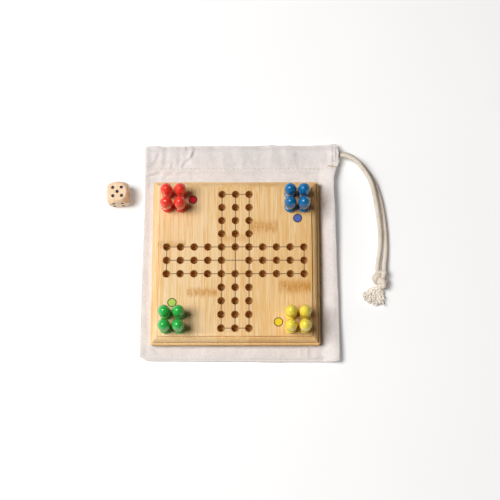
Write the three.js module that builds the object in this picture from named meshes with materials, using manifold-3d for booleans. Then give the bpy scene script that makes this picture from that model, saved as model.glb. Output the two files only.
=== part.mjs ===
// A travel ludo set: a bamboo peg board with sixteen pegs and a die, laid on its cotton drawstring pouch.
// Millimetres, +Z up. The origin is the middle of the hole grid, on the table: +X is right and +Y is away.

import * as THREE from 'three';
import { mergeVertices } from 'three/addons/utils/BufferGeometryUtils.js';
import Module from 'manifold-3d';

const wasm = await Module();
wasm.setup();

// Playing grid
const HOLE_PITCH = 10;
const HOLES_PER_SIDE = 11;
const ARM_HOLES = 3;
const HOME_HOLES = 2;
const HOLE_DIAMETER = 5.4;
const HOLE_DEPTH = 8;
const DRILL_POINT = 1.2;

// Board
const BOARD_THICKNESS = 12;
const TOP_MARGIN = 5.7;
const QUIRK_STEP = 0.8;
const OVOLO_RADIUS = 4;
const LIP_STEP = 0.7;
const LIP_WIDTH = 1.5;
const LIP_ROUND = 0.6;
const LIP_CORNER_RADIUS = 1.4;
const BOARD_SEAT_GAP = 0.3;

// Pegs, measured up from the board's top
const PEG_HEIGHT = 19.4;
const HEAD_DIAMETER = 8.9;
const HEAD_WIDEST_AT = 13;
const NECK_DIAMETER = 5.8;
const NECK_AT = 4.9;
const FOOT_DIAMETER = 8.6;
const FOOT_HEIGHT = 3.4;
const FOOT_ROUND = 1.2;
const PIN_CLEARANCE = 0.2;
const PIN_END_GAP = 1;
const PIN_CHAMFER = 0.5;

// Die
const DIE_SIZE = 16;
const DIE_BALL_DIAMETER = 21;
const PIP_DIAMETER = 2.3;
const PIP_DEPTH = 0.8;
const PIP_PITCH = 3.2;
const DIE_TO_POUCH = 11.8;
const DIE_FROM_MIDDLE = 51.8;
const DIE_TURN = THREE.MathUtils.degToRad(2.4);

// Pouch: how far it shows past each side of the board, and its drawstring channel
const CLOTH = 0.6;
const POUCH_SLACK = 0.5;
const POUCH_SHOWS_LEFT = 6.4;
const POUCH_SHOWS_RIGHT = 16;
const POUCH_SHOWS_NEAR = 10.5;
const STITCH_FROM_BOARD = 12.5;
const CHANNEL_DEPTH = 16.5;
const CHANNEL_TURN_IN = 1.5;
const CHANNEL_SLACK = 0.2;
const SIDE_FOLD_ROOM = 9;
const SEAM_WIDTH = 3;
const POUCH_CORNER_RADIUS = 5;

// Drawstring
const CORD_DIAMETER = 3.6;
const CORD_CLEARANCE = 0.3;
const CORD_GAP = 0.3;
const FRONT_RUN_FROM_MOUTH = 9.2;
const BACK_RUN_FROM_MOUTH = 3.2;
const CLOTH_SPREAD = 6;
const KNOT_LENGTH = 13.6;
const KNOT_DIAMETER = 10.6;
const KNOT_HEIGHT = 8;
const KNOT_TILT = THREE.MathUtils.degToRad(24);
const KNOT_WRAP_OFFSET = 2.4;
const TASSEL_LENGTH = 12.4;
const TASSEL_THICKNESS = 3;
const TASSEL_NECK = 5;
const TASSEL_YARNS = 7;
const TASSEL_YARN_DIAMETER = 2.4;
const TASSEL_SOFT_EDGE = 0.8;
const TASSEL_HEADING = THREE.MathUtils.degToRad(239);
const TASSEL_SPREAD = THREE.MathUtils.degToRad(80);

// Rounds: faces round a revolved piece, and steps along a curved stretch of an outline
const HOLE_SIDES = 12;
const PEG_SIDES = 12;
const CORD_SIDES = 8;
const PIP_SIDES = 8;
const ARC_STEPS = 4;
const CORD_STEP_DIAMETERS = 2;
const TURN_STEPS = 8;
const CHANNEL_STATIONS = 14;
const OVERSHOOT = 1;
const MERGE_DISTANCE = 1e-4;
const STRAIGHT = 1e-3;

// Sizes that follow from those
const GRID_MIDDLE = (HOLES_PER_SIDE - 1) / 2;
const TOP_HALF = GRID_MIDDLE * HOLE_PITCH + TOP_MARGIN;
const OVOLO_HALF = TOP_HALF + OVOLO_RADIUS;
const BOARD_HALF = OVOLO_HALF + LIP_WIDTH;
const LIP_LEVEL = BOARD_THICKNESS - QUIRK_STEP - OVOLO_RADIUS - LIP_STEP;
const FRONT_PLY_TOP = 2 * CLOTH + POUCH_SLACK;
const BOARD_LEVEL = FRONT_PLY_TOP + BOARD_SEAT_GAP;
const BOARD_TOP = BOARD_LEVEL + BOARD_THICKNESS;
const PIN_RADIUS = HOLE_DIAMETER / 2 - PIN_CLEARANCE;
const PIN_LENGTH = HOLE_DEPTH - PIN_END_GAP;
const POUCH_LEFT = -BOARD_HALF - POUCH_SHOWS_LEFT;
const POUCH_RIGHT = BOARD_HALF + POUCH_SHOWS_RIGHT;
const POUCH_NEAR = -BOARD_HALF - POUCH_SHOWS_NEAR;
const STITCH_LINE = BOARD_HALF + STITCH_FROM_BOARD;
const POUCH_MOUTH = STITCH_LINE + CHANNEL_DEPTH;
const FRONT_RUN = POUCH_MOUTH - FRONT_RUN_FROM_MOUTH;
const BACK_RUN = POUCH_MOUTH - BACK_RUN_FROM_MOUTH;

// Solids

// A geometry with its shared points merged and its collapsed faces dropped
function closed(geometry) {
  const bare = geometry.index ? geometry.toNonIndexed() : geometry.clone();
  bare.deleteAttribute('normal');
  bare.deleteAttribute('uv');
  const merged = mergeVertices(bare, MERGE_DISTANCE);
  const index = merged.index.array;
  const kept = [];
  for (let i = 0; i < index.length; i += 3) {
    const [a, b, c] = index.slice(i, i + 3);
    if (a !== b && b !== c && c !== a) kept.push(a, b, c);
  }
  return merged.setIndex(kept);
}

function solid(geometry) {
  const { attributes, index } = closed(geometry);
  return new wasm.Manifold(new wasm.Mesh({
    numProp: 3,
    vertProperties: Float32Array.from(attributes.position.array),
    triVerts: Uint32Array.from(index.array),
  }));
}

function geometryOf(body) {
  const { numProp, vertProperties, triVerts } = body.getMesh();
  const geometry = new THREE.BufferGeometry();
  geometry.setAttribute('position', new THREE.BufferAttribute(vertProperties, numProp));
  geometry.setIndex(new THREE.BufferAttribute(triVerts, 1));
  return geometry;
}

// A profile of radius and height turned round Z
function revolved(profile, sides, start = 0) {
  return new THREE.LatheGeometry(profile, sides, start).rotateX(Math.PI / 2);
}

// A section drawn across the pouch, with Y along it and Z up, stretched from one X to another
function acrossPouch(section, from, to) {
  const geometry = new THREE.ExtrudeGeometry(section, { depth: to - from, bevelEnabled: false });
  const turn = new THREE.Matrix4().makeBasis(
    new THREE.Vector3(0, 1, 0),
    new THREE.Vector3(0, 0, 1),
    new THREE.Vector3(1, 0, 0),
  );
  return geometry.applyMatrix4(turn.setPosition(from, 0, 0));
}

// A round cord along a curve
function cordAlong(curve, steps) {
  const section = new THREE.Shape().absarc(0, 0, CORD_DIAMETER / 2, 0, 2 * Math.PI);
  return closed(new THREE.ExtrudeGeometry(section, {
    extrudePath: curve,
    steps,
    curveSegments: CORD_SIDES / 2,
  }));
}

// Materials
const finish = (color, roughness) => new THREE.MeshStandardMaterial({ color, roughness, metalness: 0 });
const BAMBOO = finish(0xe6c48f, 0.45);
const COTTON = finish(0xe6ddd4, 0.95);
const CORD_COTTON = finish(0xeee4cf, 0.95);
const BEECH = finish(0xf0d2a2, 0.5);

function part(name, geometry, material) {
  const mesh = new THREE.Mesh(geometry, material);
  mesh.name = name;
  return mesh;
}

// Board: a slab with rounded arrises under a moulded square top, drilled with blind holes

const gridPlace = (step) => (step - GRID_MIDDLE) * HOLE_PITCH;
const inArm = (step) => Math.abs(step - GRID_MIDDLE) < ARM_HOLES / 2;
const inHome = (step) => Math.min(step, HOLES_PER_SIDE - 1 - step) < HOME_HOLES;

function holePlaces() {
  const places = [];
  for (let column = 0; column < HOLES_PER_SIDE; column += 1) {
    for (let row = 0; row < HOLES_PER_SIDE; row += 1) {
      const isMiddle = column === GRID_MIDDLE && row === GRID_MIDDLE;
      const isTrack = (inArm(column) || inArm(row)) && !isMiddle;
      const isHome = inHome(column) && inHome(row);
      if (isTrack || isHome) places.push([gridPlace(column), gridPlace(row)]);
    }
  }
  return places;
}

function roundedSquare(half, radius) {
  const inner = half - radius;
  return new THREE.Shape()
    .absarc(inner, inner, radius, 0, Math.PI / 2)
    .absarc(-inner, inner, radius, Math.PI / 2, Math.PI)
    .absarc(-inner, -inner, radius, Math.PI, 1.5 * Math.PI)
    .absarc(inner, -inner, radius, 1.5 * Math.PI, 2 * Math.PI);
}

function boardGeometry() {
  const slab = new THREE.ExtrudeGeometry(roundedSquare(BOARD_HALF, LIP_CORNER_RADIUS), {
    depth: LIP_LEVEL - 2 * LIP_ROUND,
    bevelThickness: LIP_ROUND,
    bevelSize: LIP_ROUND,
    bevelOffset: -LIP_ROUND,
    bevelSegments: 2,
    curveSegments: 2,
  }).translate(0, 0, LIP_ROUND);

  // Four turned sides of a profile make a square moulding with mitred corners
  const ovoloFoot = BOARD_THICKNESS - QUIRK_STEP - OVOLO_RADIUS;
  const outline = new THREE.Path()
    .moveTo(0, LIP_LEVEL / 2)
    .lineTo(OVOLO_HALF, LIP_LEVEL / 2)
    .lineTo(OVOLO_HALF, ovoloFoot)
    .absarc(TOP_HALF, ovoloFoot, OVOLO_RADIUS, 0, Math.PI / 2)
    .lineTo(TOP_HALF, BOARD_THICKNESS)
    .lineTo(0, BOARD_THICKNESS);
  const profile = outline.getPoints(ARC_STEPS).map((p) => new THREE.Vector2(p.x * Math.SQRT2, p.y));
  const moulding = revolved(profile, 4, Math.PI / 4);

  const holeRadius = HOLE_DIAMETER / 2;
  const drill = solid(revolved([
    new THREE.Vector2(0, BOARD_THICKNESS - HOLE_DEPTH - DRILL_POINT),
    new THREE.Vector2(holeRadius, BOARD_THICKNESS - HOLE_DEPTH),
    new THREE.Vector2(holeRadius, BOARD_THICKNESS + OVERSHOOT),
    new THREE.Vector2(0, BOARD_THICKNESS + OVERSHOOT),
  ], HOLE_SIDES));
  let board = solid(slab).add(solid(moulding));
  for (const [x, y] of holePlaces()) board = board.subtract(drill.translate([x, y, 0]));
  return geometryOf(board);
}

// Peg: a pin, a rounded foot that sits on the board, a neck and an egg-shaped head

function pegGeometry() {
  const headRadius = HEAD_DIAMETER / 2;
  const neckRadius = NECK_DIAMETER / 2;
  const footMiddle = FOOT_DIAMETER / 2 - FOOT_ROUND;
  const below = new THREE.Path()
    .moveTo(0, -PIN_LENGTH)
    .lineTo(PIN_RADIUS - PIN_CHAMFER, -PIN_LENGTH)
    .lineTo(PIN_RADIUS, PIN_CHAMFER - PIN_LENGTH)
    .lineTo(PIN_RADIUS, 0)
    .absellipse(footMiddle, FOOT_HEIGHT / 2, FOOT_ROUND, FOOT_HEIGHT / 2, -Math.PI / 2, Math.PI / 2)
    .lineTo(neckRadius, NECK_AT);
  const swell = (HEAD_WIDEST_AT - NECK_AT) / 3;
  const head = new THREE.Path()
    .moveTo(neckRadius, NECK_AT)
    .bezierCurveTo(
      (neckRadius + 2 * headRadius) / 3, NECK_AT + swell / 2,
      headRadius, HEAD_WIDEST_AT - swell,
      headRadius, HEAD_WIDEST_AT,
    );
  const crown = new THREE.Path()
    .absellipse(0, HEAD_WIDEST_AT, headRadius, PEG_HEIGHT - HEAD_WIDEST_AT, 0, Math.PI / 2);
  const profile = [
    ...below.getPoints(ARC_STEPS / 2),
    ...head.getPoints(ARC_STEPS).slice(1),
    ...crown.getPoints(ARC_STEPS / 2).slice(1, -1),
    new THREE.Vector2(0, PEG_HEIGHT),
  ];
  return closed(revolved(profile, PEG_SIDES));
}

// Pegs of one colour stand in the home square at one corner of the board
function pegs(color, name, sideX, sideY) {
  const group = new THREE.Group();
  const material = finish(color, 0.18);
  for (let number = 0; number < HOME_HOLES * HOME_HOLES; number += 1) {
    const column = GRID_MIDDLE - (number % HOME_HOLES);
    const row = GRID_MIDDLE - Math.floor(number / HOME_HOLES);
    const peg = part(`peg_${name}_${number + 1}`, pegGeometry(), material);
    peg.position.set(sideX * column * HOLE_PITCH, sideY * row * HOLE_PITCH, BOARD_TOP);
    group.add(peg);
  }
  return group;
}

// Die: a cube trimmed by a ball, so that each face is a disc, with drilled pips

// Pip places on a face, in steps of the pip pitch
const PIPS = {
  1: [[0, 0]],
  2: [[-1, -1], [1, 1]],
  3: [[-1, -1], [0, 0], [1, 1]],
  4: [[-1, -1], [-1, 1], [1, -1], [1, 1]],
  5: [[-1, -1], [-1, 1], [0, 0], [1, -1], [1, 1]],
  6: [[-1, -1], [-1, 0], [-1, 1], [1, -1], [1, 0], [1, 1]],
};
// The pips on each face, and how that face is turned from the top
const FACES = [
  { pips: 5, turn: [0, 0] },
  { pips: 2, turn: [180, 0] },
  { pips: 4, turn: [90, 0] },
  { pips: 3, turn: [-90, 0] },
  { pips: 1, turn: [0, 90] },
  { pips: 6, turn: [0, -90] },
];

function dieGeometry() {
  const ball = new THREE.SphereGeometry(DIE_BALL_DIAMETER / 2, 28, 18);
  let die = solid(new THREE.BoxGeometry(DIE_SIZE, DIE_SIZE, DIE_SIZE)).intersect(solid(ball));
  const face = DIE_SIZE / 2;
  const pip = solid(revolved([
    new THREE.Vector2(0, face - PIP_DEPTH),
    new THREE.Vector2(PIP_DIAMETER / 2, face),
    new THREE.Vector2(PIP_DIAMETER / 2, face + OVERSHOOT),
    new THREE.Vector2(0, face + OVERSHOOT),
  ], PIP_SIDES));
  for (const { pips, turn } of FACES) {
    for (const [x, y] of PIPS[pips]) {
      die = die.subtract(pip.translate([x * PIP_PITCH, y * PIP_PITCH, 0]).rotate([...turn, 0]));
    }
  }
  return geometryOf(die);
}

// Pouch: one cloth folded at its left side and sewn at the right and the near end, with its far edge turned in
// to a channel. The cloth's four plies there part round the two runs of the drawstring, which lie side by side.

const spread = (y, run) => Math.cos((Math.PI / 2) * Math.min(1, Math.abs(y - run) / CLOTH_SPREAD)) ** 2;
const CORD_ROOM = CORD_DIAMETER + 2 * CORD_CLEARANCE - CHANNEL_SLACK;
const backRoof = (y) => CLOTH + CHANNEL_SLACK + CORD_ROOM * spread(y, BACK_RUN);
const frontFloor = (y) => backRoof(y) + 2 * CLOTH + POUCH_SLACK;
const frontRoof = (y) => frontFloor(y) + CHANNEL_SLACK + CORD_ROOM * spread(y, FRONT_RUN);
const HEM_EDGE = STITCH_LINE - CHANNEL_TURN_IN;

// Points of a ply's height over the channel, from the stitch line to the mouth, without those on a straight line
function overChannel(height, to = POUCH_MOUTH) {
  const points = [];
  for (let i = 0; i <= CHANNEL_STATIONS; i += 1) {
    const y = THREE.MathUtils.lerp(STITCH_LINE, to, i / CHANNEL_STATIONS);
    points.push(new THREE.Vector2(y, height(y)));
  }
  const bend = (before, point, after) => point.clone().sub(before).cross(after.clone().sub(point));
  return points.filter((point, i) => {
    const isEnd = i === 0 || i === CHANNEL_STATIONS;
    return isEnd || Math.abs(bend(points[i - 1], point, points[i + 1])) > STRAIGHT;
  });
}

const at = (y, z) => new THREE.Vector2(y, z);
const backHem = at(HEM_EDGE, 2 * CLOTH);
const frontHem = at(HEM_EDGE, 4 * CLOTH + POUCH_SLACK);
const frontRise = at(HEM_EDGE - 2 * CLOTH, FRONT_PLY_TOP);

// The outside of the two plies, closed, as a section for the side fold
function pouchOutside() {
  return new THREE.Shape([
    at(POUCH_NEAR, 0),
    at(POUCH_MOUTH, 0),
    ...overChannel((y) => frontRoof(y) + CLOTH).reverse(),
    frontHem,
    frontRise,
    at(POUCH_NEAR, FRONT_PLY_TOP),
  ]);
}

// The cloth's section, with the slit between the plies, open at the mouth
function pouchSection() {
  const bottomSeam = POUCH_NEAR + SEAM_WIDTH;
  return new THREE.Shape([
    at(POUCH_NEAR, 0),
    at(POUCH_MOUTH, 0),
    ...overChannel((y) => backRoof(y) + CLOTH).reverse(),
    backHem,
    at(HEM_EDGE, CLOTH),
    at(bottomSeam, CLOTH),
    at(bottomSeam, CLOTH + POUCH_SLACK),
    at(HEM_EDGE - POUCH_SLACK, CLOTH + POUCH_SLACK),
    at(HEM_EDGE - POUCH_SLACK, 2 * CLOTH + POUCH_SLACK),
    ...overChannel((y) => backRoof(y) + CLOTH + POUCH_SLACK),
    ...overChannel((y) => frontRoof(y) + CLOTH).reverse(),
    frontHem,
    frontRise,
    at(POUCH_NEAR, FRONT_PLY_TOP),
  ]);
}

// A space in the channel, between two plies, up to the fold at the mouth
function channelSpace(floor, roof) {
  const inside = POUCH_MOUTH - CLOTH;
  return new THREE.Shape([...overChannel(floor, inside), ...overChannel(roof, inside).reverse()]);
}

function pouchGeometry() {
  const rightSeam = new THREE.Shape([
    at(POUCH_NEAR, 0),
    at(HEM_EDGE, 0),
    at(HEM_EDGE, FRONT_PLY_TOP),
    at(POUCH_NEAR, FRONT_PLY_TOP),
  ]);
  const backFloor = () => CLOTH;
  const foldInside = POUCH_LEFT + CLOTH;
  const foldEnd = foldInside + SIDE_FOLD_ROOM;
  const openEnd = POUCH_RIGHT + OVERSHOOT;
  // Where the channel goes round the side fold, its halves are one space, in which the drawstring turns
  let pouch = solid(acrossPouch(pouchSection(), POUCH_LEFT, POUCH_RIGHT))
    .add(solid(acrossPouch(rightSeam, POUCH_RIGHT - SEAM_WIDTH, POUCH_RIGHT)))
    .add(solid(acrossPouch(pouchOutside(), POUCH_LEFT, foldEnd)))
    .subtract(solid(acrossPouch(channelSpace(backFloor, frontRoof), foldInside, foldEnd)))
    .subtract(solid(acrossPouch(channelSpace(backFloor, backRoof), foldInside, openEnd)))
    .subtract(solid(acrossPouch(channelSpace(frontFloor, frontRoof), foldInside, openEnd)));
  const r = POUCH_CORNER_RADIUS;
  const nib = new THREE.Shape()
    .moveTo(-OVERSHOOT, -OVERSHOOT)
    .lineTo(r, -OVERSHOOT)
    .absarc(r, r, r, 1.5 * Math.PI, Math.PI, true)
    .lineTo(-OVERSHOOT, r);
  const cut = new THREE.ExtrudeGeometry(nib, {
    depth: FRONT_PLY_TOP + 2 * OVERSHOOT,
    bevelEnabled: false,
    curveSegments: ARC_STEPS,
  }).translate(0, 0, -OVERSHOOT);
  pouch = pouch.subtract(solid(cut.clone().translate(POUCH_LEFT, POUCH_NEAR, 0)));
  pouch = pouch.subtract(solid(cut.rotateZ(Math.PI / 2).translate(POUCH_RIGHT, POUCH_NEAR, 0)));
  return geometryOf(pouch);
}

// Drawstring

const frontRunLevel = frontFloor(FRONT_RUN) + CORD_CLEARANCE + CORD_DIAMETER / 2;
const backRunLevel = CLOTH + CORD_CLEARANCE + CORD_DIAMETER / 2;

// The hidden run goes in along the front, turns half round in the side fold and comes out along the back
function channelRunGeometry() {
  const front = new THREE.Vector3(0, FRONT_RUN, frontRunLevel);
  const back = new THREE.Vector3(0, BACK_RUN, backRunLevel);
  const radius = front.distanceTo(back) / 2;
  const turnStart = POUCH_LEFT + CLOTH + CORD_CLEARANCE + CORD_DIAMETER / 2 + radius;
  const middle = front.clone().lerp(back, 1 / 2).setX(turnStart);
  const turn = [];
  for (let i = 0; i <= TURN_STEPS; i += 1) {
    const angle = (Math.PI * i) / TURN_STEPS;
    const point = middle.clone().setX(turnStart - radius * Math.sin(angle));
    turn.push(point.addScaledVector(front.clone().sub(back), Math.cos(angle) / 2));
  }
  let run = solid(cordAlong(new THREE.CatmullRomCurve3(turn), TURN_STEPS));
  for (const side of [front, back]) {
    const inner = side.clone().setX(turnStart - CORD_GAP);
    const outer = side.clone().setX(POUCH_RIGHT - CORD_GAP / 2);
    run = run.add(solid(cordAlong(new THREE.LineCurve3(inner, outer), 1)));
  }
  return geometryOf(run);
}

// The free strands, from the right end of the pouch's mouth: the front one arches over the back one, then sinks
// to lie beside it
const LYING = CORD_DIAMETER / 2 + CORD_GAP;
const FRONT_STRAND = [
  [7, -9.3, 5.4], [10, -10.5, 6.4], [14, -13.4, 7], [16.8, -16.7, 7.1], [21.4, -22.8, 6.9], [25, -29.2, 6.6],
  [27, -37.5, 6.2], [28.4, -47.5, 5.7], [29.3, -58.1, 5], [29.8, -70.4, 4.2], [29.3, -80.5, 3.5],
  [28.3, -86.8, 3.3], [27.6, -91.3, 3.2], [27.4, -94.8, 3.3],
];
const BACK_STRAND = [
  [6.8, -3.8, 2.4], [10.3, -6.4, LYING], [14.5, -10.8, LYING], [18.6, -15.6, LYING], [22.9, -21.7, LYING],
  [26.5, -28, LYING], [29.2, -36.3, LYING], [31.4, -46.4, LYING], [32.8, -57.3, LYING], [33.6, -69.9, LYING],
  [33.5, -80.5, LYING], [32.8, -86.8, 2.4], [31.9, -91.3, 2.9], [31.6, -94.8, 3.1],
];
const STRANDS_END = -94.8;
const KNOT_ACROSS = 29.2;
const TASSEL_ACROSS = 28.4;

function strandGeometry(fromMouth, level, route) {
  const start = [CORD_GAP / 2, -fromMouth, level];
  const straightOut = [CORD_DIAMETER, -fromMouth, level];
  const points = [start, straightOut, ...route].map((p) => new THREE.Vector3(...p));
  const curve = new THREE.CatmullRomCurve3(points);
  return cordAlong(curve, Math.ceil(curve.getLength() / (CORD_STEP_DIAMETERS * CORD_DIAMETER)));
}

// The two strands are knotted together: two crossed wraps round a core, pressed flat, along Y
function knotGeometry() {
  const core = new THREE.CylinderGeometry(KNOT_DIAMETER / 2 - CORD_DIAMETER / 2, CORD_DIAMETER, KNOT_LENGTH, 14);
  let knot = solid(core);
  for (const side of [-1, 1]) {
    const wrap = new THREE.TorusGeometry((KNOT_DIAMETER - CORD_DIAMETER) / 2, CORD_DIAMETER / 2, 6, 16);
    wrap.rotateX(Math.PI / 2).rotateZ(side * KNOT_TILT).translate(0, side * KNOT_WRAP_OFFSET, 0);
    knot = knot.add(solid(wrap));
  }
  return geometryOf(knot).scale(1, 1, KNOT_HEIGHT / KNOT_DIAMETER);
}

// Below the knot the cord's yarns fray into a fan
function tasselGeometry() {
  const fan = new THREE.Shape().moveTo(-TASSEL_NECK / 2, 0);
  for (let yarn = 0; yarn < TASSEL_YARNS; yarn += 1) {
    const heading = TASSEL_HEADING + TASSEL_SPREAD * (yarn / (TASSEL_YARNS - 1) - 1 / 2);
    const reach = TASSEL_LENGTH - TASSEL_YARN_DIAMETER / 2;
    fan.absarc(
      reach * Math.cos(heading), reach * Math.sin(heading), TASSEL_YARN_DIAMETER / 2,
      heading - Math.PI / 2, heading + Math.PI / 2,
    );
  }
  fan.lineTo(TASSEL_NECK / 2, 0);
  return closed(new THREE.ExtrudeGeometry(fan, {
    depth: TASSEL_THICKNESS - 2 * TASSEL_SOFT_EDGE,
    bevelThickness: TASSEL_SOFT_EDGE,
    bevelSize: TASSEL_SOFT_EDGE,
    bevelOffset: -TASSEL_SOFT_EDGE,
    bevelSegments: 1,
    curveSegments: 2,
  }).translate(0, 0, TASSEL_SOFT_EDGE));
}

function drawstring() {
  const frontStrand = strandGeometry(FRONT_RUN_FROM_MOUTH, frontRunLevel, FRONT_STRAND);
  const backStrand = strandGeometry(BACK_RUN_FROM_MOUTH, backRunLevel, BACK_STRAND);
  const knot = part('drawstring_knot', knotGeometry(), CORD_COTTON);
  const tassel = part('drawstring_tassel', tasselGeometry(), CORD_COTTON);
  const knotTop = STRANDS_END - CORD_GAP;
  knot.position.set(KNOT_ACROSS, knotTop - KNOT_LENGTH / 2, KNOT_HEIGHT / 2 + CORD_GAP);
  tassel.position.set(TASSEL_ACROSS, knotTop - KNOT_LENGTH - CORD_GAP, CORD_GAP);
  const free = new THREE.Group();
  free.position.set(POUCH_RIGHT, POUCH_MOUTH, 0);
  free.add(
    part('drawstring_front_strand', frontStrand, CORD_COTTON),
    part('drawstring_back_strand', backStrand, CORD_COTTON),
    knot,
    tassel,
  );
  const group = new THREE.Group();
  group.add(part('drawstring_channel_run', channelRunGeometry(), CORD_COTTON), free);
  return group;
}

// The set as it lies
const set = new THREE.Group();

const board = part('board', boardGeometry(), BAMBOO);
board.position.z = BOARD_LEVEL;
set.add(board);

set.add(pegs(0xd8342c, 'red', -1, 1));
set.add(pegs(0x1673b8, 'blue', 1, 1));
set.add(pegs(0x2fa24a, 'green', -1, -1));
set.add(pegs(0xf4d23c, 'yellow', 1, -1));

const die = part('die', dieGeometry(), BEECH);
die.position.set(POUCH_LEFT - DIE_TO_POUCH - DIE_SIZE / 2, DIE_FROM_MIDDLE, DIE_SIZE / 2);
die.rotation.z = DIE_TURN;
set.add(die);

set.add(part('pouch', pouchGeometry(), COTTON));
set.add(drawstring());

export default set;
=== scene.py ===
import math

import bmesh
import bpy
import numpy as np
from mathutils import Matrix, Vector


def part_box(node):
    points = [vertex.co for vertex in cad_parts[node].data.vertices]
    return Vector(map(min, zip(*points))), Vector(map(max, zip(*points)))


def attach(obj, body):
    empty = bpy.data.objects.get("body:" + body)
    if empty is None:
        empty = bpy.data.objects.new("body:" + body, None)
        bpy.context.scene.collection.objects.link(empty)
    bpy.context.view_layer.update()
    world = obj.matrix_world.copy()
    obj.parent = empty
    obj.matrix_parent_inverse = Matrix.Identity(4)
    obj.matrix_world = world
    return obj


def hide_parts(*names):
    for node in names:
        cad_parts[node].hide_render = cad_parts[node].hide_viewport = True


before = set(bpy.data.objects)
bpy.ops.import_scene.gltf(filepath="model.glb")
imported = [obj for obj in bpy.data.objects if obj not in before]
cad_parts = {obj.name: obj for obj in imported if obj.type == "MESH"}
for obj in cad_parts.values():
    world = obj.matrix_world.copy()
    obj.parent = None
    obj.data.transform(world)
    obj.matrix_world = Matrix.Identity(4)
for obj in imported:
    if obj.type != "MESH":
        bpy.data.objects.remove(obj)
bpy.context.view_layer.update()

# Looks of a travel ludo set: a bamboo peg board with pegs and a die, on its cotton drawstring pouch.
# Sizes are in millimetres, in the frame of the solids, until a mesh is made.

MM = 0.001


def box_mm(node):
    low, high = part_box(node)
    return np.array(low) / MM, np.array(high) / MM


BOARD_LOW, BOARD_HIGH = box_mm("board")
POUCH_LOW, POUCH_HIGH = box_mm("pouch")
DIE_LOW, DIE_HIGH = box_mm("die")
KNOT_LOW, KNOT_HIGH = box_mm("drawstring_knot")

# Camera, as the photo was taken
CAMERA_AT = (19.4, -189.3, 806.5)
CAMERA_TURN = (13.957, 0.612, 0.087)
LENS = 80.7
SENSOR = 36

# Board
HOLE_PITCH = 10
HOLES_PER_SIDE = 11
ARM_HOLES = 3
HOME_HOLES = 2
HOLE_DIAMETER = 5.4
HOLE_DEPTH = 8
DRILL_POINT = 1.2
HOLE_CHAMFER = 0.2
BOARD_THICKNESS = 12
TOP_MARGIN = 5.7
QUIRK_STEP = 1.1
OVOLO_RADIUS = 4
LIP_STEP = 0.7
LIP_ROUND = 0.6
LIP_CORNER_RADIUS = 1.4
MITRE_ROUND = 0.12
GROOVE_WIDTH = 0.55
GROOVE_DEPTH = 0.5
LINE_WIDTH = 0.6
LINE_DEPTH = 0.3
DOT_DIAMETER = 5.4
DOT_OUTLINE = 0.62
DOT_THICKNESS = 0.08

# Pegs, measured up from the board's top
PEG_HEIGHT = 19.4
HEAD_DIAMETER = 8.9
HEAD_WIDEST_AT = 13
NECK_DIAMETER = 5.8
NECK_AT = 4.9
FOOT_DIAMETER = 8.6
FOOT_HEIGHT = 3.4
FOOT_ROUND = 1.2
PIN_RADIUS = 2.5
PIN_LENGTH = 7
PIN_CHAMFER = 0.5

# Die
DIE_SIZE = 16
DIE_BALL_DIAMETER = 21
DIE_EDGE_ROUND = 0.22
PIP_DIAMETER = 2.45
PIP_DEPTH = 0.8
PIP_PITCH = 3.2
DIE_TURN = math.radians(2.4)

# Pouch
CLOTH = 0.45
POUCH_SLACK = 0.3
PLY_GAP = 0.15
HEM_DEPTH = 16.5
HEM_TURN_IN = 1.5
HEM_TOP = 4.7
MOUTH_TOP = 3.5
FRONT_RUN_FROM_MOUTH = 6.6
BACK_RUN_FROM_MOUTH = 3.2
CORD_DIAMETER = 3.6
CORD_GAP = 0.3
# Inside the hem the cord is pressed to a thinner one, and the cloth closes round it within this reach
PRESSED_CORD = 2.3
CLOTH_SPREAD = 3.4

# Radius of a profile where it meets its axis, rise of a cutter above the face that it cuts, and tolerance
AXIS_RADIUS = 1e-3
CUT_ABOVE = 1
NEAR_ENOUGH = 0.01

GRID_MIDDLE = (HOLES_PER_SIDE - 1) / 2
LAST_HOLE = HOLES_PER_SIDE // 2
TOP_HALF = GRID_MIDDLE * HOLE_PITCH + TOP_MARGIN
OVOLO_HALF = TOP_HALF + OVOLO_RADIUS
BOARD_HALF = BOARD_HIGH[0]
BOARD_TOP = BOARD_HIGH[2]
LIP_LEVEL = BOARD_TOP - QUIRK_STEP - OVOLO_RADIUS - LIP_STEP
LEFT, NEAR = POUCH_LOW[:2]
RIGHT, MOUTH = POUCH_HIGH[:2]
STITCH_LINE = MOUTH - HEM_DEPTH
HEM_EDGE = STITCH_LINE - HEM_TURN_IN
FRONT_RUN = MOUTH - FRONT_RUN_FROM_MOUTH
BACK_RUN = MOUTH - BACK_RUN_FROM_MOUTH
MOUTH_CORNER = np.array([RIGHT, MOUTH, 0])


# Camera, floor and light

def add_camera():
    data = bpy.data.cameras.new("camera")
    data.lens = LENS
    data.sensor_width = SENSOR
    camera = bpy.data.objects.new("camera", data)
    camera.location = [value * MM for value in CAMERA_AT]
    camera.rotation_euler = [math.radians(value) for value in CAMERA_TURN]
    bpy.context.scene.collection.objects.link(camera)
    bpy.context.scene.camera = camera


KEY = {"direction": (-0.477, 0.0, 0.879), "distance": 1.7, "size": 0.94, "level": 0.96}
SIDE = {"direction": (-0.84, -0.10, 0.53), "distance": 4.8, "size": 3.0, "level": 0.08}
FILL_LEVEL = 0.066
FILL_COLOUR = (1.0, 0.83, 0.68)


def add_lamp(name, direction, distance, size, level):
    """A round softbox. At level 1 a white face that looks straight at it renders as white."""
    data = bpy.data.lights.new(name, "AREA")
    data.shape = "DISK"
    data.size = size
    data.energy = level * math.pi ** 2 * (distance ** 2 + (size / 2) ** 2)
    lamp = bpy.data.objects.new(name, data)
    lamp.location = np.array(direction) / np.linalg.norm(direction) * distance
    lamp.rotation_euler = lamp.location.to_track_quat("Z", "Y").to_euler()
    bpy.context.scene.collection.objects.link(lamp)


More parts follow.
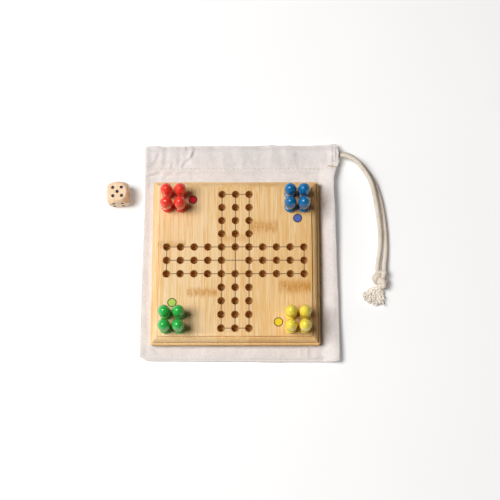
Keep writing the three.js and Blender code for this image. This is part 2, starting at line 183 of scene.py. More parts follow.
def add_lights():
    world = bpy.data.worlds.new("studio")
    world.use_nodes = True
    world.node_tree.nodes["Background"].inputs["Color"].default_value = (*FILL_COLOUR, 1)
    world.node_tree.nodes["Background"].inputs["Strength"].default_value = FILL_LEVEL
    bpy.context.scene.world = world
    add_lamp("key", **KEY)
    add_lamp("side", **SIDE)


# Meshes

def add_piece(name, points, faces, material):
    """A mesh object from points in millimetres."""
    mesh = bpy.data.meshes.new(name)
    mesh.from_pydata((np.asarray(points) * MM).tolist(), [], [list(map(int, face)) for face in faces])
    mesh.materials.append(material)
    piece = bpy.data.objects.new(name, mesh)
    bpy.context.scene.collection.objects.link(piece)
    return piece


def smooth(piece, sharp_above=None):
    """Smooth shading, with edges sharper than an angle kept crisp."""
    for polygon in piece.data.polygons:
        polygon.use_smooth = True
    if sharp_above is not None:
        piece.data.set_sharp_from_angle(angle=math.radians(sharp_above))
    return piece


def tidy(piece, distance=1e-4):
    """Welds points that coincide and turns every face outwards."""
    work = bmesh.new()
    work.from_mesh(piece.data)
    bmesh.ops.remove_doubles(work, verts=work.verts, dist=distance * MM)
    bmesh.ops.recalc_face_normals(work, faces=work.faces)
    work.to_mesh(piece.data)
    work.free()
    return piece


def bake_modifiers(piece):
    graph = bpy.context.evaluated_depsgraph_get()
    mesh = bpy.data.meshes.new_from_object(piece.evaluated_get(graph))
    piece.modifiers.clear()
    piece.data = mesh
    return piece


def cut(piece, cutter):
    """Takes the cutter's volume out of a piece."""
    modifier = piece.modifiers.new("cut", "BOOLEAN")
    modifier.operation = "DIFFERENCE"
    modifier.solver = "MANIFOLD"
    modifier.object = cutter
    bake_modifiers(piece)
    bpy.data.objects.remove(cutter)
    return piece


def paint(piece, materials, choose):
    """Gives each face one of several materials, chosen by the place of its middle."""
    piece.data.materials.clear()
    for material in materials:
        piece.data.materials.append(material)
    for polygon in piece.data.polygons:
        polygon.material_index = choose(np.array(polygon.center) / MM)


def paint_rest(piece, material, first):
    """Gives the faces from the first one on a second material."""
    piece.data.materials.append(material)
    for polygon in piece.data.polygons[first:]:
        polygon.material_index = 1


def assign(piece, body, node=None):
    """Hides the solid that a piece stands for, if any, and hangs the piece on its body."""
    if node:
        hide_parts(node)
    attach(piece, body)
    return piece


def grid_faces(rows, columns, closed=False):
    """Quads over a grid of points stored row by row, closed round its columns if asked."""
    faces = []
    for row in range(rows - 1):
        low, high = row * columns, (row + 1) * columns
        for column in range(columns if closed else columns - 1):
            after = (column + 1) % columns
            faces.append((low + column, low + after, high + after, high + column))
    return faces


def capped_faces(rings, sides):
    """Quads between closed rings of points, with a cap at both ends."""
    faces = grid_faces(rings, sides, closed=True)
    faces.append(range(sides)[::-1])
    faces.append(range((rings - 1) * sides, rings * sides))
    return faces


def lathe(profile, sides):
    """Points and faces of a profile of radius and height turned round Z, capped at both ends."""
    angles = np.linspace(0, 2 * np.pi, sides, endpoint=False)
    points = [[r * math.cos(a), r * math.sin(a), z] for r, z in profile for a in angles]
    return np.array(points), capped_faces(len(profile), sides)


def joined(parts):
    """Several sets of points and faces as one."""
    points, faces, start = [], [], 0
    for part_points, part_faces in parts:
        points.append(part_points)
        faces.extend([[start + i for i in face] for face in part_faces])
        start += len(part_points)
    return np.concatenate(points), faces


def arc(centre, radius, start, end, steps):
    angles = np.radians(np.linspace(start, end, steps + 1))
    return [[centre[0] + radius * math.cos(a), centre[1] + radius * math.sin(a)] for a in angles]


def lengths_along(path):
    """How far along a path each of its points lies."""
    return np.concatenate([[0], np.cumsum(np.linalg.norm(np.diff(path, axis=0), axis=1))])


def evenly(path, count):
    """A path as points at even steps."""
    lengths = lengths_along(path)
    places = np.linspace(0, lengths[-1], count)
    return np.column_stack([np.interp(places, lengths, path[:, i]) for i in range(3)])


SPLINE_STEPS = 24


def spline(points, step):
    """A smooth curve through points, sampled at even steps."""
    points = np.asarray(points, float)
    padded = np.vstack([2 * points[0] - points[1], points, 2 * points[-1] - points[-2]])
    fine = []
    for before, start, end, after in zip(padded, padded[1:], padded[2:], padded[3:]):
        slope_in, slope_out = (end - before) / 2, (after - start) / 2
        for t in np.linspace(0, 1, SPLINE_STEPS, endpoint=False):
            fine.append((2 * t ** 3 - 3 * t ** 2 + 1) * start + (t ** 3 - 2 * t ** 2 + t) * slope_in
                        + (3 * t ** 2 - 2 * t ** 3) * end + (t ** 3 - t ** 2) * slope_out)
    path = np.array(fine + [points[-1]])
    return evenly(path, max(3, int(round(lengths_along(path)[-1] / step)) + 1))


def unit(vectors):
    """The directions of vectors, one in each row."""
    return vectors / np.linalg.norm(vectors, axis=1)[:, None]


# A path that starts steeper than this takes its first side from X, and any other from Z
STEEP = 0.9


def frames_along(path):
    """Two directions square to a path at each point, carried along without twist."""
    tangents = unit(np.gradient(path, axis=0))
    side = np.cross(tangents[0], [0, 0, 1.0] if abs(tangents[0][2]) < STEEP else [1.0, 0, 0])
    sides = []
    for tangent in tangents:
        side = side - tangent * side.dot(tangent)
        side = side / np.linalg.norm(side)
        sides.append(side)
    sides = np.array(sides)
    return sides, np.cross(tangents, sides)


def tube(path, radii, sides):
    """Points and faces of a capped tube, whose radius is given at each point or at each point and side."""
    path = np.asarray(path, float)
    radii = np.asarray(radii, float)
    if radii.ndim < 2:
        radii = radii.reshape(-1, 1)
    across, up = frames_along(path)
    angles = np.linspace(0, 2 * np.pi, sides, endpoint=False)[None, :, None]
    outward = np.cos(angles) * across[:, None] + np.sin(angles) * up[:, None]
    rings = path[:, None] + radii[..., None] * outward
    return rings.reshape(-1, 3), capped_faces(len(path), sides)


# Materials

class Finish:
    """One material, with short calls for its nodes. Sizes of patterns are in millimetres."""

    def __init__(self, name, **sockets):
        self.material = bpy.data.materials.new(name)
        self.material.use_nodes = True
        self.tree = self.material.node_tree
        self.shader = self.tree.nodes["Principled BSDF"]
        self.place = self.add("TexCoord").outputs["Object"]
        for socket, value in sockets.items():
            self.shader.inputs[socket.replace("_", " ")].default_value = value

    def add(self, kind, inputs=None, **settings):
        node = self.tree.nodes.new("ShaderNode" + kind)
        for name, value in settings.items():
            setattr(node, name, value)
        for name, value in (inputs or {}).items():
            self.feed(node.inputs[name], value)
        return node

    def feed(self, socket, value):
        if isinstance(value, bpy.types.NodeSocket):
            self.tree.links.new(value, socket)
        else:
            socket.default_value = value

    def scaled(self, size):
        scale = [1 / (MM * value) for value in size]
        return self.add("Mapping", {"Vector": self.place, "Scale": scale}).outputs[0]

    def noise(self, size, detail=2, roughness=0.5, distortion=0):
        inputs = {"Vector": self.scaled(size), "Scale": 1, "Detail": detail, "Roughness": roughness,
                  "Distortion": distortion}
        return self.add("TexNoise", inputs).outputs["Fac"]

    def axis(self, index):
        """One coordinate, in millimetres."""
        return self.add("SeparateXYZ", {"Vector": self.scaled((1, 1, 1))}).outputs[index]

    def math(self, operation, a, b=0.0, c=0.0, clamp=False):
        node = self.add("Math", operation=operation, use_clamp=clamp)
        for socket, value in zip(node.inputs, (a, b, c)):
            self.feed(socket, value)
        return node.outputs[0]

    def fade(self, value, start, end, low=0.0, high=1.0):
        """A value that eases from low to high between two levels."""
        inputs = {"Value": value, "From Min": start, "From Max": end, "To Min": low, "To Max": high}
        return self.add("MapRange", inputs, interpolation_type="SMOOTHSTEP").outputs[0]

    def ramp(self, value, stops, interpolation="LINEAR"):
        node = self.add("ValToRGB", {"Fac": value})
        node.color_ramp.interpolation = interpolation
        elements = node.color_ramp.elements
        while len(elements) < len(stops):
            elements.new(0.5)
        for element, (position, colour) in zip(elements, stops):
            element.position = position
            element.color = (*colour, 1)
        return node.outputs[0]

    def mix(self, factor, a, b):
        node = self.add("Mix", data_type="RGBA")
        for index, value in ((0, factor), (6, a), (7, b)):
            self.feed(node.inputs[index], (*value, 1) if isinstance(value, tuple) else value)
        return node.outputs[2]

    def colour(self, value):
        self.feed(self.shader.inputs["Base Color"], value)

    def roughness(self, value):
        self.feed(self.shader.inputs["Roughness"], value)

    def bump(self, height, distance, strength=1.0):
        inputs = {"Height": height, "Distance": distance * MM, "Strength": strength}
        self.feed(self.shader.inputs["Normal"], self.add("Bump", inputs).outputs[0])

    def two_tone(self, pattern, first, second, rough):
        """Colour and roughness that follow one pattern."""
        self.colour(self.ramp(pattern, [(0.3, first), (0.7, second)]))
        self.rough(pattern, *rough)

    def rough(self, pattern, low, high):
        """Roughness between two values, as a pattern rises."""
        self.roughness(self.fade(pattern, 0.3, 0.7, low, high))

    def darkening(self, factor, colour, share):
        """A colour that goes to a darker share of itself."""
        self.colour(self.mix(factor, colour, tuple(value * share for value in colour)))


STRIP_PITCH = 22.3
STRIP_START = -80.1
# How golden each strip of bamboo is, from the left
STRIP_TONES = (0.1, 0.3, 0.2, 0.72, 0.75, 0.98, 1.0)
# How much darker the end grain of each strip is
STRIP_ENDS = (0, 0.1, 0.15, 0.05, 0.5, 0.15, 0.1)
# The knuckles of the bamboo: from and to across, place along, reach, strength of the smudge and of the specks
KNUCKLES = [
    (-35, -13, -23.6, 5, 0.85, 0.9),
    (10, 31, 25.6, 7.5, 0.8, 0.75),
    (22, 31, 24.3, 5, 0.95, 0.9),
    (31.4, 54.5, -19.2, 7, 1.0, 0.85),
    (-57, -36.5, 12.3, 4, 0.5, 0.65),
    (-12.5, 9.5, 16.7, 4, 0.4, 0.65),
]
FRAY_SHIFT = 6
WANDER_SHIFT = 4
KNUCKLE_SIDE = 0.2


def knuckle_masks(finish, along, across):
    """Where a knuckle darkens the bamboo: a smudge frayed along the fibres, and specks along its middle."""
    fray = finish.noise((0.6, 8, 0.6), detail=2)
    wander = finish.noise((2.6, 9, 2.6), detail=3)
    cells = {"Vector": finish.scaled((1.25, 1.9, 1.25)), "Scale": 1}
    dots = finish.add("TexVoronoi", cells).outputs["Distance"]
    frayed = finish.fade(fray, 0.38, 0.60, 0.4, 1)
    dotted = finish.fade(dots, 0.16, 0.36, 1, 0)
    shift = finish.math("MULTIPLY_ADD", fray, FRAY_SHIFT, finish.math("MULTIPLY", wander, WANDER_SHIFT))
    mean_shift = (FRAY_SHIFT + WANDER_SHIFT) / 2
    smudges, specks = 0.0, 0.0
    for start, end, place, reach, smudge_strength, speck_strength in KNUCKLES:
        off = finish.math("ADD", shift, finish.math("SUBTRACT", along, place + mean_shift))
        distance = finish.math("ABSOLUTE", off)
        inside = finish.math("MULTIPLY", finish.fade(across, start - KNUCKLE_SIDE, start + KNUCKLE_SIDE),
                             finish.fade(across, end - KNUCKLE_SIDE, end + KNUCKLE_SIDE, 1, 0))
        smudge = finish.fade(distance, 0.1 * reach, reach, smudge_strength, 0)
        speck = finish.fade(distance, 0.1 * reach, 0.6 * reach, speck_strength, 0)
        smudges = finish.math("MAXIMUM", smudges, finish.math("MULTIPLY", smudge, inside))
        specks = finish.math("MAXIMUM", specks, finish.math("MULTIPLY", speck, inside))
    return finish.math("MULTIPLY", smudges, frayed), finish.math("MULTIPLY", specks, dotted)


def bamboo_finish():
    """Edge-glued bamboo strips along Y under a thin satin varnish."""
    finish = Finish("bamboo", Coat_Weight=0.04, Coat_Roughness=0.3, Specular_IOR_Level=0.2)
    across, along = finish.axis(0), finish.axis(1)
    strips = len(STRIP_TONES)
    share = finish.math("DIVIDE", finish.math("SUBTRACT", across, STRIP_START), STRIP_PITCH * strips)
    tone, end_tone = (
        finish.ramp(share, [(strip / strips, (tone,) * 3) for strip, tone in enumerate(tones)], "CONSTANT")
        for tones in (STRIP_TONES, STRIP_ENDS))
    normal = finish.add("NewGeometry").outputs["Normal"]
    facing = finish.math("ABSOLUTE", finish.add("SeparateXYZ", {"Vector": normal}).outputs["Y"])
    end_grain = finish.fade(facing, 0.05, 0.4)
    calm = finish.fade(facing, 0.05, 0.4, 1, 0.4)
    bands = finish.noise((1.9, 90, 1.9), detail=3, roughness=0.6)
    fibres = finish.noise((0.62, 26, 0.62), detail=2, roughness=0.6)
    threads = finish.noise((0.5, 18, 0.5), detail=1)

    level = finish.math("MULTIPLY_ADD", tone, 0.25, finish.math("MULTIPLY", bands, 0.75))
    base = finish.ramp(level, [
        (0.34, (0.91, 0.665, 0.385)),
        (0.5, (0.87, 0.60, 0.305)),
        (0.66, (0.81, 0.495, 0.195)),
    ])
    fibre = finish.math("MULTIPLY", finish.fade(fibres, 0.49, 0.62, 0, 0.75), calm)
    streaked = finish.mix(fibre, base, (0.765, 0.415, 0.125))
    thread = finish.math("MULTIPLY", finish.fade(threads, 0.53, 0.66, 0, 0.5), calm)
    threaded = finish.mix(thread, streaked, (0.94, 0.745, 0.47))
    ended = finish.mix(finish.math("MULTIPLY", end_tone, end_grain), threaded, (0.66, 0.36, 0.13))
    smudges, specks = knuckle_masks(finish, along, across)
    smudged = finish.mix(smudges, ended, (0.62, 0.285, 0.054))
    specked = finish.mix(specks, smudged, (0.44, 0.185, 0.04))
    lip = finish.fade(finish.axis(2), LIP_LEVEL - 0.3, LIP_LEVEL + 0.3, 0.6, 0)
    finish.colour(finish.mix(lip, specked, (0.77, 0.445, 0.12)))
    finish.roughness(finish.fade(fibres, 0.3, 0.8, 0.42, 0.55))
    finish.bump(fibres, 0.05, 0.4)
    return finish.material


def drilled_finish():
    """The bare end of the grain in a drilled hole."""
    finish = Finish("drilled_bamboo", Specular_IOR_Level=0.1)
    rings = finish.noise((6, 6, 3), detail=1)
    finish.two_tone(rings, (0.66, 0.385, 0.145), (0.73, 0.445, 0.18), rough=(0.75, 0.85))
    return finish.material


def line_finish():
    """The scorched floor of an engraved line."""
    finish = Finish("scorched_line")
    char = finish.noise((0.5, 0.5, 0.5), detail=3)
    finish.two_tone(char, (0.12, 0.075, 0.045), (0.23, 0.155, 0.10), rough=(0.6, 0.85))
    return finish.material


def ink_finish(name, colour):
    """A printed dot, a little uneven where the grain shows through."""
    finish = Finish(name, Specular_IOR_Level=0.15)
    grain = finish.noise((0.5, 6, 0.5), detail=2)
    finish.darkening(finish.fade(grain, 0.4, 0.75), colour, 0.84)
    finish.rough(grain, 0.5, 0.65)
    return finish.material


def lacquer_finish(name, colour):
    """Dipped gloss paint over turned wood."""
    finish = Finish(name, Coat_Weight=1.0, Coat_IOR=1.6, Coat_Roughness=0.12, Specular_IOR_Level=0.1)
    cloud = finish.noise((5, 5, 7), detail=2)
    turned = finish.noise((9, 9, 0.5), detail=2)
    finish.darkening(finish.fade(cloud, 0.35, 0.75, 0, 0.4), colour, 0.78)
    finish.rough(cloud, 0.45, 0.6)
    finish.bump(turned, 0.05, 0.25)
    return finish.material


def die_finish():
    """Pale close-grained wood, with its grain along Y."""
    finish = Finish("die_wood", Coat_Weight=0.2, Coat_Roughness=0.25)
    rings = finish.noise((1.6, 30, 2.2), detail=3, distortion=0.4)
    pores = finish.noise((0.2, 2.4, 0.2), detail=2)
    base = finish.ramp(rings, [
        (0.3, (0.95, 0.72, 0.49)),
        (0.5, (0.92, 0.67, 0.44)),
        (0.7, (0.87, 0.59, 0.355)),
    ])
    pore = finish.math("MULTIPLY", finish.fade(pores, 0.6, 0.75), 0.25)
    finish.colour(finish.mix(pore, base, (0.62, 0.38, 0.18)))
    finish.roughness(finish.fade(rings, 0.3, 0.7, 0.36, 0.48))
    finish.bump(pores, 0.04, 0.4)
    return finish.material


def pip_finish():
    """Black paint in the die's pips."""
    finish = Finish("pip_paint", Coat_Weight=0.3)
    cloud = finish.noise((0.6, 0.6, 0.6), detail=2)
    finish.two_tone(cloud, (0.008, 0.008, 0.009), (0.03, 0.028, 0.027), rough=(0.3, 0.5))
    return finish.material


def cotton_finish(name, light, shade, grain):
    """Plain cotton: close threads that read as a fine mottle, softer patches, and a few flecks of husk."""
    finish = Finish(name, Sheen_Weight=0.1, Sheen_Roughness=0.5, Specular_IOR_Level=0.1)
    weft = finish.noise((3 * grain, grain, 3 * grain), detail=2)
    warp = finish.noise((grain, 3 * grain, 3 * grain), detail=2)
    patches = finish.noise((9, 9, 9), detail=3)
    flecks = finish.noise((1.1, 1.1, 1.1), detail=1)
    weave = finish.math("MULTIPLY", finish.math("ADD", weft, warp), 0.5)
    level = finish.math("MULTIPLY_ADD", patches, 0.35, finish.math("MULTIPLY", weave, 0.65))
    base = finish.ramp(level, [(0.38, shade), (0.6, light)])
    fleck = finish.math("MULTIPLY", finish.fade(flecks, 0.7, 0.8), 0.35)
    finish.colour(finish.mix(fleck, base, (0.62, 0.43, 0.25)))
    finish.roughness(finish.fade(weave, 0.3, 0.7, 0.95, 0.85))
    finish.bump(weave, 0.12, 0.35)
    return finish.material


def thread_finish(name, colour):
    """Sewing thread, with the twist of its plies."""
    finish = Finish(name, Sheen_Weight=0.2)
    twist = finish.noise((0.25, 0.25, 0.25), detail=2)
    finish.darkening(finish.fade(twist, 0.35, 0.7), colour, 0.7)
    finish.rough(twist, 0.7, 0.9)
    return finish.material


# The floor's own light near the part and far from it, and the distances that it grows between
FLOOR_LIFT = 0.18
FAR_FLOOR_LIFT = 0.85
FLOOR_FADE = (300, 2500)
FLOOR_HALF = 40000


def floor_finish():
    """A white table that keeps shadows and shows as white where the light reaches it."""
    finish = Finish("white_table", Roughness=0.9, Specular_IOR_Level=0.1)
    path = finish.add("LightPath")
    seen = finish.math("ADD", path.outputs["Is Camera Ray"], path.outputs["Is Glossy Ray"])
    seen = finish.math("ADD", seen, path.outputs["Is Transmission Ray"], clamp=True)
    mottle = finish.noise((160, 160, 160), detail=2)
    finish.colour(finish.ramp(mottle, [(0.3, (0.88, 0.88, 0.88)), (0.7, (0.90, 0.90, 0.90))]))
    away = finish.add("VectorMath", {0: finish.scaled((1, 1, 1))}, operation="LENGTH").outputs["Value"]
    lift = finish.fade(away, *FLOOR_FADE, FLOOR_LIFT, FAR_FLOOR_LIFT)
    finish.shader.inputs["Emission Color"].default_value = (1, 1, 1, 1)
    finish.feed(finish.shader.inputs["Emission Strength"], finish.math("MULTIPLY", seen, lift))
    return finish.material


def add_floor():
    points = [(x * FLOOR_HALF, y * FLOOR_HALF, 0) for x, y in ((-1, -1), (1, -1), (1, 1), (-1, 1))]
    floor = add_piece("floor", points, [(0, 1, 2, 3)], floor_finish())


# Board

# No hole or line comes closer than this to the edge of the board's top or to its bottom
UNCUT_BAND = 1


def square_ring(half, radius, level):
    """A square with rounded corners at one level."""
    points = []
    for corner in range(4):
        middle = math.radians(45 + 90 * corner)
        centre = (half - radius) * math.sqrt(2) * np.array([math.cos(middle), math.sin(middle)])
        for x, y in arc(centre, radius, 90 * corner, 90 * corner + 90, steps=6):
            points.append([x, y, level])
    return points


def board_rings():
    """The board's outline level by level, from its bottom to its top."""
    lip_top = LIP_LEVEL - BOARD_LOW[2]
    foot = lip_top + LIP_STEP
    profile = arc((BOARD_HALF - LIP_ROUND, LIP_ROUND), LIP_ROUND, -90, 0, steps=4)
    profile += arc((BOARD_HALF - LIP_ROUND, lip_top - LIP_ROUND), LIP_ROUND, 0, 90, steps=4)
    rings = [square_ring(half, LIP_CORNER_RADIUS - (BOARD_HALF - half), level) for half, level in profile]
    moulding = [(OVOLO_HALF + MITRE_ROUND, lip_top), (OVOLO_HALF, lip_top + MITRE_ROUND)]
    groove_from = math.degrees(math.acos(GROOVE_WIDTH / OVOLO_RADIUS))
    moulding += arc((TOP_HALF, foot), OVOLO_RADIUS, 0, groove_from, steps=12)
    groove_bottom = foot + OVOLO_RADIUS - GROOVE_DEPTH
    moulding += [(TOP_HALF + MITRE_ROUND, groove_bottom), (TOP_HALF, groove_bottom + MITRE_ROUND)]
    moulding += arc((TOP_HALF - MITRE_ROUND, BOARD_THICKNESS - MITRE_ROUND), MITRE_ROUND, 0, 90, steps=2)
    rings += [square_ring(half, MITRE_ROUND, level) for half, level in moulding]
    return rings


def in_arm(step):
    return abs(step) < ARM_HOLES / 2


def in_home(step):
    return abs(step) > LAST_HOLE - HOME_HOLES


def hole_steps():
    """Column and row of every hole, counted from the middle of the board."""
    steps = range(-LAST_HOLE, LAST_HOLE + 1)
    for column in steps:
        for row in steps:
            is_track = (in_arm(column) or in_arm(row)) and (column, row) != (0, 0)
            if is_track or (in_home(column) and in_home(row)):
                yield column, row


def line_steps():
    """The straight stretches of engraved line, each from one hole to the next."""
    arm = range(-(ARM_HOLES // 2), ARM_HOLES // 2 + 1)
    for lane in arm:
        for start in range(-LAST_HOLE, LAST_HOLE):
            if lane == 0 and start == 0:
                continue
            end = 1 if lane == 0 and start == -1 else start + 1
            yield (lane, start), (lane, end)
            yield (start, lane), (end, lane)
    for end in (-LAST_HOLE, LAST_HOLE):
        for lane in arm[:-1]:
            yield (lane, end), (lane + 1, end)
            yield (end, lane), (end, lane + 1)


def box_between(low, high):
    points = [[x, y, z] for z in (low[2], high[2]) for y in (low[1], high[1]) for x in (low[0], high[0])]
    faces = [(0, 2, 3, 1), (4, 5, 7, 6), (0, 1, 5, 4), (2, 6, 7, 3), (0, 4, 6, 2), (1, 3, 7, 5)]
    return np.array(points), faces


def line_cutter(axis):
    """Every engraved stretch along one axis. A stretch ends inside the holes that it joins."""
    boxes = []
    for start, end in line_steps():
        if start[axis] == end[axis]:
            continue
        low = np.array([*start, 0], float) * HOLE_PITCH
        high = np.array([*end, 0], float) * HOLE_PITCH
        low[axis] += HOLE_DIAMETER / 4
        high[axis] -= HOLE_DIAMETER / 4
        low[1 - axis] -= LINE_WIDTH / 2
        high[1 - axis] += LINE_WIDTH / 2
        low[2] = BOARD_THICKNESS - LINE_DEPTH
        high[2] = BOARD_THICKNESS + CUT_ABOVE
        boxes.append(box_between(low, high))
    return tidy(add_piece("line_cutter", *joined(boxes), SCORCHED))


def hole_cutter():
    """All the blind holes, each with the cone of the drill's point and a chamfer."""
    radius = HOLE_DIAMETER / 2
    profile = [
        (AXIS_RADIUS, BOARD_THICKNESS - HOLE_DEPTH - DRILL_POINT),
        (radius, BOARD_THICKNESS - HOLE_DEPTH),
        (radius, BOARD_THICKNESS - HOLE_CHAMFER),
        (radius + HOLE_CHAMFER, BOARD_THICKNESS),
        (radius + HOLE_CHAMFER, BOARD_THICKNESS + CUT_ABOVE),
    ]
    points, faces = lathe(profile, sides=40)
    places = [np.array([column, row, 0]) * HOLE_PITCH for column, row in hole_steps()]
    return add_piece("hole_cutter", *joined([(points + place, faces) for place in places]), DRILLED)


def near_hole(x, y):
    off = np.array([x, y]) - np.round(np.array([x, y]) / HOLE_PITCH) * HOLE_PITCH
    return np.linalg.norm(off) < HOLE_DIAMETER / 2 + HOLE_CHAMFER + NEAR_ENOUGH


def board_material(centre):
    """A face's place in the board's list of materials: bamboo, drilled or scorched."""
    x, y, z = centre
    depth = BOARD_TOP - z
    inside = max(abs(x), abs(y)) < TOP_HALF - UNCUT_BAND
    if not (inside and NEAR_ENOUGH < depth < BOARD_THICKNESS - UNCUT_BAND):
        return 0
    is_line = abs(depth - LINE_DEPTH) < NEAR_ENOUGH or not near_hole(x, y)
    return 2 if is_line else 1


def add_board():
    rings = board_rings()
    faces = capped_faces(len(rings), len(rings[0]))
    board = tidy(add_piece("bamboo_board", np.concatenate(rings), faces, BAMBOO))
    for cutter in (line_cutter(0), line_cutter(1), hole_cutter()):
        cut(board, cutter)
    board.data.transform(Matrix.Translation((0, 0, BOARD_LOW[2] * MM)))
    paint(board, (BAMBOO, DRILLED, SCORCHED), board_material)
    assign(smooth(board, sharp_above=35), "board", "board")


# Start dots printed beside the first hole of each colour's track
START_DOTS = {
    "red": (-31.5, 45.9),
    "blue": (45.5, 31.7),
    "green": (-45.6, -31.3),
    "yellow": (31.1, -45.5),
}
DOT_INK = {
    "red": (0.82, 0.012, 0.026),
    "blue": (0.10, 0.15, 0.47),
    "green": (0.45, 0.66, 0.11),
    "yellow": (0.87, 0.64, 0.022),
}
OUTLINE_INK = (0.045, 0.03, 0.02)
OUTLINE_THICKNESS = 0.8 * DOT_THICKNESS


def add_dots():
    outline = ink_finish("ink_outline", OUTLINE_INK)
    radius = DOT_DIAMETER / 2
    rim = radius + DOT_OUTLINE
    fill = lathe([(radius, 0), (radius, DOT_THICKNESS), (AXIS_RADIUS, DOT_THICKNESS)], sides=48)
    ring_profile = [(rim, 0), (rim, OUTLINE_THICKNESS), (radius, OUTLINE_THICKNESS), (radius, 0)]
    ring_points, ring_faces = lathe(ring_profile, sides=48)
    points, faces = joined([fill, (ring_points, ring_faces[:-2])])
    for colour, (x, y) in START_DOTS.items():
        dot = add_piece(f"start_dot_{colour}", points, faces, ink_finish(f"ink_{colour}", DOT_INK[colour]))
        paint_rest(dot, outline, len(fill[1]))
        dot.location = (x * MM, y * MM, BOARD_TOP * MM)
        assign(dot, "board")


# Pegs

# The foot clears the board by this much, so that the two faces don't coincide
PEG_SEAT = 0.02
FOOT_STEPS = 15
HEAD_STEPS = 18
# The dome of the head, in degrees up from its widest place
DOME_FROM = 5
DOME_TO = 89.5


def peg_profile():
    """A peg from the end of its pin to the top of its head, as radius and height."""
    head, neck = HEAD_DIAMETER / 2, NECK_DIAMETER / 2
    foot_middle = FOOT_DIAMETER / 2 - FOOT_ROUND
    profile = [
        (AXIS_RADIUS, -PIN_LENGTH),
        (PIN_RADIUS - PIN_CHAMFER, -PIN_LENGTH),
        (PIN_RADIUS, PIN_CHAMFER - PIN_LENGTH),
        (PIN_RADIUS, PEG_SEAT),
    ]
    for angle in np.radians(np.linspace(-90, 90, FOOT_STEPS)):
        rise = FOOT_HEIGHT / 2 * (1 + math.sin(angle))
        profile.append((foot_middle + FOOT_ROUND * math.cos(angle), rise + PEG_SEAT))
    swell = (HEAD_WIDEST_AT - NECK_AT) / 3
    controls = [
        np.array((neck, NECK_AT)),
        np.array(((neck + 2 * head) / 3, NECK_AT + swell / 2)),
        np.array((head, HEAD_WIDEST_AT - swell)),
        np.array((head, HEAD_WIDEST_AT)),
    ]
    for t in np.linspace(0, 1, HEAD_STEPS):
        weights = ((1 - t) ** 3, 3 * t * (1 - t) ** 2, 3 * t * t * (1 - t), t ** 3)
        profile.append(tuple(sum(w * c for w, c in zip(weights, controls))))
    for angle in np.radians(np.linspace(DOME_FROM, DOME_TO, HEAD_STEPS)):
        height = HEAD_WIDEST_AT + (PEG_HEIGHT - HEAD_WIDEST_AT) * math.sin(angle)
        profile.append((head * math.cos(angle), height))
    return profile


PEG_PAINT = {
    "red": (0.95, 0.047, 0.023),
    "blue": (0.001, 0.165, 0.42),
    "green": (0.025, 0.49, 0.07),
    "yellow": (0.97, 0.77, 0.075),
}
PEG_CORNER = {"red": (-1, 1), "blue": (1, 1), "green": (-1, -1), "yellow": (1, -1)}


def add_pegs():
    points, faces = lathe(peg_profile(), sides=48)
    for colour, (side_x, side_y) in PEG_CORNER.items():
        lacquer = lacquer_finish(f"lacquer_{colour}", PEG_PAINT[colour])
        for number in range(HOME_HOLES ** 2):
            column = GRID_MIDDLE - number % HOME_HOLES
            row = GRID_MIDDLE - number // HOME_HOLES
            node = f"peg_{colour}_{number + 1}"
            peg = smooth(add_piece(f"turned_{node}", points, faces, lacquer), sharp_above=50)
            place = (side_x * column * HOLE_PITCH, side_y * row * HOLE_PITCH, BOARD_TOP)
            peg.location = [value * MM for value in place]
            assign(peg, node, node)


# Die

PIPS = {
    1: [(0, 0)],
    2: [(-1, -1), (1, 1)],
    3: [(-1, -1), (0, 0), (1, 1)],
    4: [(-1, -1), (-1, 1), (1, -1), (1, 1)],
    5: [(-1, -1), (-1, 1), (0, 0), (1, -1), (1, 1)],
    6: [(-1, -1), (-1, 0), (-1, 1), (1, -1), (1, 0), (1, 1)],
}
# The pips on each face, with the directions of its normal and of one side
DIE_FACES = [
    (5, (0, 0, 1), (1, 0, 0)),
    (2, (0, 0, -1), (1, 0, 0)),
    (4, (0, -1, 0), (1, 0, 0)),
    (3, (0, 1, 0), (1, 0, 0)),
    (1, (1, 0, 0), (0, 1, 0)),
    (6, (-1, 0, 0), (0, 1, 0)),
]
DIE_STEPS = 64
# A pip is the cap of a ball, which is drawn to this angle from its poles
PIP_RADIUS = (PIP_DIAMETER ** 2 / 4 + PIP_DEPTH ** 2) / (2 * PIP_DEPTH)
POLE_GAP = 0.01


def die_faces():
    """The pips of each face, with the directions of its normal and of both sides."""
    for count, normal, side in DIE_FACES:
        normal, side = np.array(normal, float), np.array(side, float)
        yield count, normal, side, np.cross(normal, side)


def die_body():
    """A cube trimmed by a ball, with the edge between the two a little rounded."""
    parts = []
    turns = np.tan(np.linspace(-np.pi / 4, np.pi / 4, DIE_STEPS))
    across, along = (values.ravel() for values in np.meshgrid(turns, turns))
    for _, normal, side, other in die_faces():
        rays = unit(normal + across[:, None] * side + along[:, None] * other)
        cube = DIE_SIZE / 2 / np.abs(rays).max(axis=1)
        ball = DIE_BALL_DIAMETER / 2
        blend = np.clip(0.5 + 0.5 * (ball - cube) / DIE_EDGE_ROUND, 0, 1)
        reach = ball + (cube - ball) * blend - DIE_EDGE_ROUND * blend * (1 - blend)
        parts.append((rays * reach[:, None], grid_faces(DIE_STEPS, DIE_STEPS)))
    return joined(parts)


def pip_middles():
    """The middles of the balls that hollow the pips."""
    for count, normal, side, other in die_faces():
        for x, y in PIPS[count]:
            place = normal * DIE_SIZE / 2 + (x * side + y * other) * PIP_PITCH
            yield place + normal * (PIP_RADIUS - PIP_DEPTH)


def die_material(centre):
    """A face's place in the die's list of materials: wood or pip paint."""
    return int(any(np.linalg.norm(centre - middle) < PIP_RADIUS + NEAR_ENOUGH for middle in pip_middles()))


